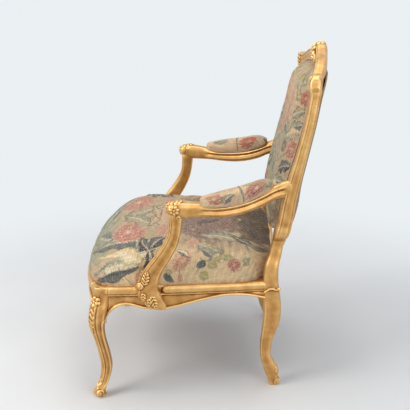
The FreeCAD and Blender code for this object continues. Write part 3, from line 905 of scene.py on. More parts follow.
    def back(self) -> CarvedPiece:
        """The back leg and post in one piece."""
        beads = (
            Bead(-28, 4.0, -1.8, 0.53, 0.98), Bead(-36, 4.0, 1.2, 0.53, 0.98),
            Bead(-62, 4.0, -1.8, 0.53, 0.98), Bead(-118, 5.0, 1.8, 0.53, 0.98),
            Bead(36, 4.0, -1.4, 0.53, 0.97), Bead(-42, 5.0, 1.6, 0.1, 0.3),
        )
        limb = Limb(self.back_rows, beads=beads, fullness=3.6)
        line = ((269, 168, 306), (270, 176, 311), (269, 184, 316), (268.5, 194, 317), (267, 203, 313.5),
                (263, 211, 313), (257, 216, 316))
        knob = ball((263.5, 211.5, 315.5), (5.2, 5.2, 5.2))
        toe = ball((230.0, 213.0, 12.0), (11.0, 9.5, 12.0), axis=(1, 0, 0), fullness=3.0)
        ornaments = [
            Ornament((244, 214, 60), (1.0, 0.55, 0), (0, 0, 1), 26, acanthus(20, 42, 9, 2.6, 3)),
            Ornament((242.5, 213, 12), (1, 0, 0), (0, 0, 1), 12, volute(9.5, 2.2, -1)),
            Ornament((217.5, 213, 12), (-1, 0, 0), (0, 0, 1), 12, volute(9.5, 2.2)),
        ]
        return CarvedPiece("back_leg", [limb.skin(), tube(line, 2.6), knob, toe], ornaments)


@dataclass
class Rails:
    """The four rails of the seat."""

    plan: SeatPlan
    moulding: Moulding
    rear_end: float = 176.0
    band_break: tuple[float, float] = (-176.0, -114.0)

    def side(self) -> CarvedPiece:
        """A side rail, whose band stops on either side of the arm support."""
        plan, moulding = self.plan, self.moulding
        y = np.linspace(plan.joint_y, self.rear_end, 260)
        points, out = plan.side_path(y)
        low = plan.side_edge(y)
        before, after = y < self.band_break[0], y > self.band_break[1]
        skins = [
            moulding.body(points, out, low),
            moulding.band(points[before], out[before], (False, True)),
            moulding.band(points[after], out[after], (True, False)),
            moulding.lower_bead(points, out, low),
            # The swelling that the arm support grows out of.
            ball((313.0, -138.0, 303.0), (26.0, 30.0, 11.0), axis=(1, 0.13, 0), fullness=2.6),
        ]
        return CarvedPiece("side_seat_rail", skins, self.side_ornaments())

    def side_ornaments(self) -> list[Ornament]:
        """The shell and leaf on the rail below the arm support."""
        facing = (1.0, 0.1, 0.0)
        return [
            Ornament((322, -139, 309), facing, (0, 0.45, -1), 34, acanthus(6, 40, 12, 5.0, 4, 4)),
            Ornament((323, -147, 305), facing, (0, -0.25, -1), 26, acanthus(2, 26, 7, 3.6, 3, -5)),
            Ornament((323, -128, 322), facing, (0, 0, 1), 14, volute(10, 3.0)),
        ]

    def front(self) -> CarvedPiece:
        """The bowed front rail with its carved middle."""
        plan, moulding = self.plan, self.moulding
        x = np.linspace(-plan.joint_x, plan.joint_x, 360)
        points, out = plan.front_path(x)
        low = plan.front_edge(x)
        skins = [moulding.body(points, out, low), moulding.band(points, out, (False, False)),
                 moulding.lower_bead(points, out, low)]
        middle = float(plan.front(np.array(0.0))) + 4
        facing = (0.0, -1.0, 0.0)
        ornaments = [Ornament((0, middle, 287), facing, (0, 0, 1), 24, blossom(18, 8, 7.0))]
        for hand in (1, -1):
            leaf = acanthus(-16, 62, 12, 5.0, 5, 3 * hand)
            ornaments.append(Ornament((0, middle, 280), facing, (hand, 0, 0.10), 90, leaf))
        return CarvedPiece("front_seat_rail", skins, ornaments)

    def back(self) -> CarvedPiece:
        """The plain back rail."""
        rows = tuple((x, 187.5, 311, 16.5, 24) for x in (-224, 0, 224))
        limb = Limb(rows, axis=0, fullness=9.0, beads=twins(0, 38, 4, -1.2))
        return CarvedPiece("back_seat_rail", [limb.skin()], voxel=2.0)


@dataclass
class Arms:
    """The two open arms: a curved support and a padded rest each."""

    support_rows: Table = (
        (270, 308.5, -117, 9, 13), (284, 310, -126, 12, 24), (305, 311, -143, 14, 32),
        (335, 311.5, -152.5, 14.5, 29.5), (356, 312.5, -148, 14.5, 28), (380, 314, -140, 14, 27),
        (405, 316, -125, 13.5, 25.5), (435, 318, -105, 13.5, 23), (465, 318.5, -88, 13.5, 20),
        (495, 317, -77, 14, 17), (525, 313.5, -73, 15, 17.5), (552, 311, -72.5, 16, 18),
        (560, 311, -72.5, 14, 16),
    )
    rest_rows: Table = (
        (-90, 314, 560, 8, 9), (-84, 313.5, 561, 15, 16), (-68, 312, 562.5, 19.5, 22),
        (-45, 308, 562, 19.5, 22), (-18, 302, 560.5, 18, 20), (5, 297, 559.5, 22.5, 18.5),
        (45, 290, 558, 25, 19.5), (90, 278, 561, 25.5, 21.5), (130, 264, 569, 25, 21.5),
        (165, 253, 581, 21.5, 22), (196, 245.5, 594, 15.5, 20.5), (218, 242.5, 600, 14, 23),
        (240, 241.5, 603, 14, 24),
    )

    def support(self) -> CarvedPiece:
        """The arm support, lined down its front edge and carved at its foot."""
        beads = (
            Bead(-33, 3.0, -2.0, 0.2, 0.9), Bead(-40, 3.0, 1.6, 0.2, 0.9), Bead(-50, 3.4, -2.2, 0.2, 0.9),
            Bead(-62, 3.6, 1.8, 0.2, 0.9), Bead(40, 4.5, 1.4, 0.3, 0.95), Bead(10, 20, -1.4, 0.3, 0.95),
            Bead(-130, 4.0, -1.6, 0.2, 0.9), Bead(-118, 4.0, 1.4, 0.2, 0.9),
        )
        limb = Limb(self.support_rows, beads=beads, fullness=3.4)
        side = (1.0, -0.25, 0.0)
        up = (0.0, 0.35, 1.0)
        scroll = ball((321, -171, 345), (10.5, 10.5, 7.5), axis=(1, -0.3, 0), fullness=2.6)
        ornaments = [
            Ornament((327, -172, 345), side, up, 14, volute(11, 3.4)),
            Ornament((326, -160, 352), side, up, 46, acanthus(2, 40, 11, 4.4, 4, -3)),
            Ornament((326, -163, 322), side, (0, -0.1, -1), 30, acanthus(2, 26, 9, 3.8, 3)),
            Ornament((312, -182, 360), (0.2, -1, 0.2), (0, 0.3, 1), 50, acanthus(18, 52, 10, 3.6, 5)),
        ]
        return CarvedPiece("arm_support", [limb.skin(), scroll], ornaments, voxel=1.4)

    def rest(self) -> CarvedPiece:
        """The armrest, with its carved knuckle and the hollow edge that holds the pad."""
        beads = (
            Bead(24, 5, 2.2, 0.3, 0.93), Bead(8, 8, -2.4, 0.26, 0.94), Bead(-20, 7, 1.8, 0.24, 0.95),
            Bead(156, 5, 2.2, 0.3, 0.93), Bead(172, 8, -2.4, 0.26, 0.94), Bead(-160, 7, 1.8, 0.24, 0.95),
            Bead(52, 5, 1.4, 0.04, 0.24), Bead(128, 5, 1.4, 0.04, 0.24),
        )
        limb = Limb(self.rest_rows, axis=1, beads=beads, fullness=3.0)
        curl = ball((313, -83, 566), (14.0, 16.0, 19.0), axis=(1, 0.1, 0), fullness=3.0)
        ornaments = [
            Ornament((332, -76, 566), (1, -0.35, 0.1), (0.0, -0.3, 1), 26, blossom(14, 7, 3.8)),
            Ornament((329, -66, 548), (1, 0.0, -0.1), (0, 0.5, -1), 34, acanthus(2, 28, 9, 3.6, 3)),
            Ornament((312, -80, 585), (0.1, -0.4, 1), (0, -1, 0.3), 40, acanthus(24, 44, 15, 3.8, 4)),
            Ornament((312, -100, 566), (0, -1, 0.2), (0, 0.1, -1), 24, acanthus(14, 30, 12, 3.4, 3)),
        ]
        return CarvedPiece("armrest", [limb.skin(), curl], ornaments, voxel=1.4)


@dataclass
class BackRails:
    """The carved crest rail and the lower rail of the back."""

    crest_rows: Table = (
        (0, 896, 966, 18.5), (36, 896, 953, 17.5), (70, 894, 943, 17), (120, 888, 934, 16),
        (165, 878, 917, 15.5), (196, 864, 906, 15.5), (210, 858, 908, 15.5), (228, 857, 906, 15),
        (240, 859, 893, 14.5), (244, 862, 880, 13),
    )
    lower_rows: Table = (
        (0, 414, 478, 15), (60, 424, 478, 15), (120, 426, 480, 15), (175, 420, 481, 15), (225, 426, 480, 15),
    )

    @staticmethod
    def limb(rows: Table, foot_y: float, lean: float, foot_z: float) -> Limb:
        """A rail across the back from half its rows, dished in plan and leaning with the posts.

        Args:
            rows: Place across, lower edge, upper edge and half depth, from the middle out.
            foot_y: Where its middle stands at foot_z.
            lean: How far it leans back for each millimetre up.
            foot_z: The height of foot_y.

        Returns:
            The rail, from the right end to the left.
        """
        half = []
        for x, low, top, depth in rows:
            height = 0.5 * (low + top)
            half.append((x, foot_y + dished(x) + lean * (height - foot_z), height, depth, 0.5 * (top - low)))
        mirrored = [(-x, *other) for x, *other in half[:0:-1]]
        beads = tuple(Bead(hand * angle, 4.5, height, 0.04, 0.96)
                      for hand in (1, -1) for angle, height in ((146, -1.8), (136, 1.8)))
        return Limb(tuple(mirrored + half), axis=0, fullness=3.4, beads=beads)

    def crest(self) -> CarvedPiece:
        """The crest rail, with a flower between two sprays of leaves."""
        limb = self.limb(self.crest_rows, 292.2, 0.17, 862.0)
        facing = (0.0, -1.0, 0.17)
        knob = ball((0, 328, 957), (18, 9, 12), axis=(0, 1, 0.1), fullness=2.4)
        ornaments = [
            Ornament((0, 309, 938), facing, (0, 0, 1), 32, blossom(25, 8, 11.0)),
            *(Ornament((0, 309, 930), facing, (hand, 0, -0.10), 95, acanthus(-15, 66, 13, 6.0, 6, -5 * hand))
              for hand in (1, -1)),
            Ornament((0, 326, 962), (0, 0, 1), (0, -1, 0), 30, blossom(16, 5, 4.0)),
            *(Ornament((219 * hand, 289, 893), facing, (-0.2 * hand, 0, -1), 40, acanthus(12, 42, 12, 4.0, 4))
              for hand in (1, -1)),
        ]
        return CarvedPiece("crest_rail", [limb.skin(), knob], ornaments)

    def lower(self) -> CarvedPiece:
        """The lower rail of the back."""
        limb = self.limb(self.lower_rows, 209.0, 0.22, 450.0)
        facing = (0.0, -1.0, 0.2)
        ornaments = [Ornament((0, 218, 446), facing, (0, 0, 1), 26, blossom(17, 6, 4.5))]
        return CarvedPiece("lower_back_rail", [limb.skin()], ornaments)


def grid_quads(rows: int, columns: int, closed: bool = False) -> Array:
    """Faces of a grid of points, row by row.

    Args:
        rows: Number of rows.
        columns: Number of columns.
        closed: Whether each row closes on itself.

    Returns:
        One row of four vertex numbers for each face.
    """
    last = columns if closed else columns - 1
    i, j = np.meshgrid(np.arange(rows - 1), np.arange(last), indexing="ij")
    i, j, k = i.ravel(), j.ravel(), (j.ravel() + 1) % columns
    return np.stack([i * columns + j, i * columns + k, (i + 1) * columns + k, (i + 1) * columns + j], axis=1)


def refined(grid: Array, factor: int) -> Array:
    """A grid of points with more rows and columns, on a smooth surface through them."""
    for axis in (0, 1):
        count = grid.shape[axis]
        at = np.linspace(0, count - 1, (count - 1) * factor + 1)
        weights = through(np.arange(count), np.eye(count), at)
        grid = np.moveaxis(np.tensordot(weights, grid, axes=(1, axis)), 0, axis)
    return grid


def settled(name: str, points: Array, quads: Array, pinned: Array, pressure: float, cap: float) -> Array:
    """Swell a stretched cover with Blender's cloth, held where it is tacked.

    Args:
        name: The cover's name.
        points: Its points in millimetres.
        quads: Its faces.
        pinned: How firmly each point is held, from 0 to 1.
        pressure: The stuffing's push.
        cap: Furthest that a point may move, in millimetres.
    """
    obj = make_mesh(name + "_cloth", points, quads.tolist())
    group = obj.vertex_groups.new(name="tacked")
    for index, weight in enumerate(pinned):
        if weight > 0:
            group.add([index], float(weight), "REPLACE")
    modifier = obj.modifiers.new("Cloth", "CLOTH")
    cloth = modifier.settings
    cloth.quality = 6
    cloth.mass = 0.4
    cloth.tension_stiffness = 18.0
    cloth.compression_stiffness = 12.0
    cloth.shear_stiffness = 6.0
    cloth.bending_stiffness = 0.6
    cloth.vertex_group_mass = "tacked"
    cloth.use_pressure = True
    cloth.uniform_pressure_force = pressure
    cloth.effector_weights.gravity = 0.0
    modifier.collision_settings.use_collision = False
    scene = bpy.context.scene
    for frame in range(1, SETTLE_FRAMES + 1):
        scene.frame_set(frame)
    mesh = evaluated(obj)
    moved = coordinates(mesh) / MM - points
    scene.frame_set(1)
    bpy.data.meshes.remove(mesh)
    remove(obj)
    distance = np.maximum(np.linalg.norm(moved, axis=1, keepdims=True), 1e-6)
    LOG.info("%s settled by up to %.1f mm", name, distance.max())
    return points + moved / distance * cap * np.tanh(distance / cap)


@dataclass
class Cover:
    """A tapestry cover over its stuffing: cloth points in a grid, with each one's place on the flat cloth.

    Attributes:
        name: The piece's name.
        nodes: The CAD nodes that it stands for.
        grid: Points in millimetres, rows by columns.
        flat: Places on the flat cloth in millimetres, rows by columns.
        paint: Colours and raised threads from the places on the flat cloth.
        inward: Which way the tacked edge is closed off.
        pressure: The stuffing's push.
        cap: Furthest that the push may move the cloth.
        factor: How many times finer the finished cloth is.
        fill: How tight it is stuffed; not used.
    """

    name: str
    nodes: tuple[str, ...]
    grid: Array
    flat: Array
    paint: Callable[[Array], tuple[Array, Array]]
    inward: Triple = (0, 0, 0)
    pressure: float = 4.0
    cap: float = 6.0
    factor: int = 4
    fill: float = 0.85

    def swell(self) -> None:
        """Let the stuffing press the cover out between the edges where it is tacked."""
        rows, columns = self.grid.shape[:2]
        held = np.ones((rows, columns))
        held[2:-2, 2:-2] = 0.0
        quads = grid_quads(rows, columns)
        start = self.grid.reshape(-1, 3)
        if self.inside_out(start, directions(start, quads)):
            quads = quads[:, ::-1]
        moved = settled(self.name, start, quads, held.ravel(), self.pressure, self.cap)
        self.grid = moved.reshape(rows, columns, 3)

    def build(self, crease: Callable[[Array, Array, Array], Array] | None = None) -> bpy.types.Object:
        """Make the finished cover.

        Args:
            crease: Moves the fine points by their places, flat places and normals, for folds and pleats.

        Returns:
            The object, which stands for its nodes.
        """
        self.swell()
        fine, flat = refined(self.grid, self.factor), refined(self.flat, self.factor)
        rows, columns = fine.shape[:2]
        quads = grid_quads(rows, columns)
        points, places = fine.reshape(-1, 3), flat.reshape(-1, 2)
        outward = directions(points, quads)
        if self.inside_out(points, outward):
            outward = -outward
        if crease:
            points = crease(points, places, outward)
        faces = quads.tolist()
        edge = self.border(rows, columns)
        ring = points[edge] * 0.93 + points[edge].mean(axis=0) * 0.07 + np.array(self.inward)
        points_all = np.vstack([points, ring, ring.mean(axis=0)])
        first, count = len(points), len(edge)
        for i in range(count):
            k = (i + 1) % count
            faces.append([int(edge[i]), int(edge[k]), first + k, first + i])
            faces.append([first + i, first + k, first + count])
        obj = make_mesh(self.name, points_all, faces)
        colour, raised = self.paint(places)
        extra = count + 1
        colour = np.vstack([colour, np.tile(colour.mean(axis=0), (extra, 1))])
        store_colour(obj.data, "pattern", colour)
        store(obj.data, "raised", np.concatenate([raised, np.zeros(extra)]))
        lay_cloth(obj, places)
        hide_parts(*self.nodes)
        return obj

    @staticmethod
    def inside_out(points: Array, facing: Array) -> bool:
        """Whether directions at points look to the middle of them on the whole."""
        return np.einsum("ij,ij->i", facing, points - points.mean(axis=0)).sum() < 0

    @staticmethod
    def border(rows: int, columns: int) -> Array:
        """Vertex numbers round the edge of an open grid."""
        top = np.arange(columns - 1)
        right = np.arange(rows - 1) * columns + columns - 1
        bottom = (rows - 1) * columns + np.arange(columns - 1, 0, -1)
        left = np.arange(rows - 1, 0, -1) * columns
        return np.concatenate([top, right, bottom, left])


def square_rings(half: int) -> tuple[Array, Array, Array]:
    """Places of a square grid as rings round its middle.

    Args:
        half: Cells from the middle to the edge.

    Returns:
        Two places across and down in each ring, from -1 to 1, and the ring's share of the way out.
    """
    step = np.arange(-half, half + 1)
    i, j = np.meshgrid(step, step, indexing="ij")
    ring = np.maximum(np.maximum(np.abs(i), np.abs(j)), 1e-9)
    return i / ring, j / ring, ring / half


def flat_grid(half: int, across: float, down: float) -> Array:
    """Places on the flat cloth of a square grid's points, in millimetres.

    Args:
        half: Cells from the middle to the edge.
        across: Size of a cell one way.
        down: Its size the other way.

    Returns:
        A place for each point, rows by columns.
    """
    step = np.arange(-half, half + 1)
    i, j = np.meshgrid(step, step, indexing="ij")
    return np.stack([i * across, j * down], axis=-1)


def rounded(a: Array, b: Array, fullness: Array | float) -> tuple[Array, Array]:
    """Pull a square's corners in, to the shape of a superellipse."""
    size = np.maximum((np.abs(a) ** fullness + np.abs(b) ** fullness) ** (1 / fullness), 1e-9)
    return a / size, b / size


class Wool(Enum):
    """Linear colours of the dyed wools."""

    IVORY = (0.78, 0.64, 0.42)
    CREAM = (0.72, 0.52, 0.29)
    PEACH = (0.62, 0.41, 0.25)
    SAND = (0.46, 0.35, 0.20)
    OLIVE = (0.40, 0.34, 0.12)
    SAGE = (0.33, 0.32, 0.21)
    SLATE = (0.16, 0.165, 0.14)
    TEAL = (0.085, 0.11, 0.10)
    INK = (0.060, 0.052, 0.050)
    UMBER = (0.13, 0.082, 0.045)
    MAUVE = (0.235, 0.150, 0.115)
    PINK = (0.58, 0.30, 0.21)
    ROSE = (0.44, 0.15, 0.10)
    RED = (0.29, 0.050, 0.036)


@dataclass
class Cloth:
    """A flat cloth while it is woven: each point's place in millimetres and what is laid there so far."""

    places: Array
    colour: Array
    raised: Array

    @classmethod
    def of(cls, places: Array, ground: Wool) -> Cloth:
        """A cloth of one ground colour."""
        return cls(places, np.tile(np.array(ground.value), (len(places), 1)), np.zeros(len(places)))

    def lay(self, where: Array, share: Array, wool: Wool, lift: float = 0.0) -> None:
        """Weave a wool in.

        Args:
            where: Numbers of the points.
            share: How much of the wool each takes, from 0 to 1.
            wool: The wool.
            lift: How far it stands out.
        """
        share = np.clip(share, 0.0, 1.0)
        self.colour[where] += share[:, None] * (np.array(wool.value) - self.colour[where])
        self.raised[where] += lift * share

    def near(self, low: Sequence[float], high: Sequence[float], margin: float) -> Array:
        """Numbers of the points in a box with a margin."""
        low, high = np.minimum(low, high) - margin, np.maximum(low, high) + margin
        return np.flatnonzero(np.all((self.places > low) & (self.places < high), axis=1))

    def hatch(self, strength: float) -> None:
        """The small unevenness of hand-dyed weft."""
        places = self.places
        streak = noise(places / np.array([9.0, 3.2]), 1.0, 5) * 0.6 + noise(places, 24.0, 6) * 0.5
        fleck = noise(places / np.array([1.9, 1.0]), 6.0, 8) + 0.4 * noise(places, 30.0, 9)
        every = np.arange(len(self.places))
        self.lay(every, 0.30 * smoothstep(0.5, 0.9, fleck), Wool.SLATE)
        self.lay(every, 0.30 * smoothstep(-0.5, -0.9, fleck), Wool.IVORY)
        self.colour *= np.clip(1.0 + strength * streak, 0.4, 1.5)[:, None]


@dataclass(frozen=True)
class Wash:
    """A patch of ground colour with a ragged edge."""

    at: tuple[float, float]
    reach: tuple[float, float]
    wool: Wool
    strength: float = 0.85
    ragged: float = 0.35

    def weave(self, cloth: Cloth, flip: float = 1.0) -> None:
        """Lay the patch, mirrored across where flip is -1."""
        offset = (cloth.places * np.array([flip, 1.0]) - self.at) / self.reach
        away = np.hypot(*offset.T) + self.ragged * noise(cloth.places / np.array([1.6, 1.0]), 34.0, 11)
        cloth.lay(np.arange(len(away)), self.strength * smoothstep(1.15, 0.65, away), self.wool)


@dataclass(frozen=True)
class Leaf:
    """A leaf from its foot to its tip, lighter on one side of its vein, with slanting stripes."""

    foot: tuple[float, float]
    tip: tuple[float, float]
    width: float
    light: Wool = Wool.SAGE
    dark: Wool = Wool.SLATE
    lobes: float = 0.0
    bend: float = 0.0
    edge: Wool = Wool.INK
    stripes: float = 6.0
    vein: Wool = Wool.IVORY

    def weave(self, cloth: Cloth, flip: float = 1.0) -> None:
        """Lay the leaf, mirrored across where flip is -1."""
        turn = np.array([flip, 1.0])
        foot, tip = np.array(self.foot) * turn, np.array(self.tip) * turn
        where = cloth.near(foot, tip, self.width * 1.5 + abs(self.bend))
        offset = cloth.places[where] - foot
        axis = tip - foot
        length = np.linalg.norm(axis)
        u = offset @ axis / length**2
        v = offset @ np.array([-axis[1], axis[0]]) * flip / length
        v = v - self.bend * np.sin(np.clip(u, 0, 1) * math.pi)
        v = v / self.width + 0.10 * noise(cloth.places[where], 8.0, 21)
        inside = np.clip(u, 0.0, 1.0)
        outline = np.sin(math.pi * inside**0.8) ** 0.75
        outline = outline * (1.0 - 0.32 * np.abs(np.sin(self.lobes * math.pi * inside)) ** 3)
        depth = (outline - np.abs(v)) * ((u > 0) & (u < 1))
        cover = smoothstep(0.0, 0.12, depth)
        cloth.lay(where, cover, self.dark, 0.5)
        cloth.lay(where, cover * smoothstep(-0.12, 0.12, v), self.light)
        wave = np.sin(2 * math.pi * (self.stripes * u - 1.1 * self.stripes * 0.3 * np.abs(v)))
        cloth.lay(where, 0.55 * cover * smoothstep(0.45, 0.85, wave), self.light)
        cloth.lay(where, 0.45 * cover * smoothstep(0.55, 0.9, -wave), self.edge)
        along_vein = smoothstep(0.10, 0.04, np.abs(v)) * smoothstep(1.0, 0.7, u)
        cloth.lay(where, 0.75 * cover * along_vein, self.vein)
        cloth.lay(where, 0.8 * smoothstep(0.0, 0.06, depth) * smoothstep(0.26, 0.12, depth), self.edge, -0.3)


@dataclass(frozen=True)
class Bloom:
    """A ragged many-petalled flower, with dark strokes between its petals and pale tips."""

    at: tuple[float, float]
    radius: float
    squash: float = 1.0
    turn: float = 0.0
    petals: int = 11
    dark: Wool = Wool.RED
    middle: Wool = Wool.ROSE
    pale: Wool = Wool.PINK
    tip: Wool = Wool.CREAM
    seed: int = 1

    def weave(self, cloth: Cloth, flip: float = 1.0) -> None:
        """Lay the flower, mirrored across where flip is -1."""
        at = np.array(self.at) * np.array([flip, 1.0])
        where = cloth.near(at, at, self.radius * 1.4)
        offset = (cloth.places[where] - at) * np.array([flip, 1.0])
        c, s = math.cos(math.radians(self.turn)), math.sin(math.radians(self.turn))
        x = offset[:, 0] * c + offset[:, 1] * s
        y = (offset[:, 1] * c - offset[:, 0] * s) / self.squash
        place = np.stack([x, y], axis=1)
        angle = np.arctan2(y, x) + 0.18 * noise(place, self.radius * 0.5, self.seed)
        away = np.hypot(x, y) / self.radius
        lobed = 0.66 + 0.34 * np.abs(np.cos(0.5 * self.petals * angle)) ** 0.7
        lobed += 0.07 * noise(place, self.radius * 0.22, self.seed + 1)
        share = away / lobed
        cover = smoothstep(1.0, 0.9, share)
        cloth.lay(where, cover, self.pale, 0.6)
        ring = np.floor(np.clip(share, 0, 0.999) * 3)
        within = np.clip(share, 0, 0.999) * 3 - ring
        petal = np.cos(self.petals * angle + ring * math.pi)
        cloth.lay(where, cover * smoothstep(0.0, -0.7, petal) * 0.8, self.middle)
        cloth.lay(where, cover * smoothstep(0.55, 0.05, within) * 0.7, self.middle)
        stroke = np.sin(self.petals * 2.0 * angle + 3.0 * noise(place, self.radius * 0.35, self.seed + 2))
        dark = cover * smoothstep(0.1, 0.7, -stroke) * smoothstep(1.1, 0.55, share)
        tips = cover * smoothstep(0.35, 0.9, stroke) * smoothstep(0.35, 0.8, within)
        cloth.lay(where, dark * 0.85, self.dark, -0.4)
        cloth.lay(where, tips * 0.75, self.tip, 0.3)
        cloth.lay(where, smoothstep(0.2, 0.1, share) * 0.7, self.tip)


@dataclass(frozen=True)
class Stem:
    """A thin stalk through points on the cloth."""

    path: Table
    width: float = 2.2
    wool: Wool = Wool.INK
    strength: float = 0.85

    def weave(self, cloth: Cloth, flip: float = 1.0) -> None:
        """Lay the stalk, mirrored across where flip is -1."""
        path = np.array(self.path) * np.array([flip, 1.0])
        keys = np.arange(len(path))
        line = through(keys, path, np.linspace(0, len(path) - 1, 12 * len(path)))
        where = cloth.near(line.min(axis=0), line.max(axis=0), self.width * 2)
        places = cloth.places[where]
        away = np.full(len(where), 1e9)
        for a, b in zip(line[:-1], line[1:]):
            along = b - a
            t = np.clip((places - a) @ along / max(along @ along, 1e-9), 0, 1)
            away = np.minimum(away, np.linalg.norm(places - a - t[:, None] * along, axis=1))
        cloth.lay(where, self.strength * smoothstep(self.width, self.width * 0.4, away), self.wool)


Motif = Wash | Leaf | Bloom | Stem


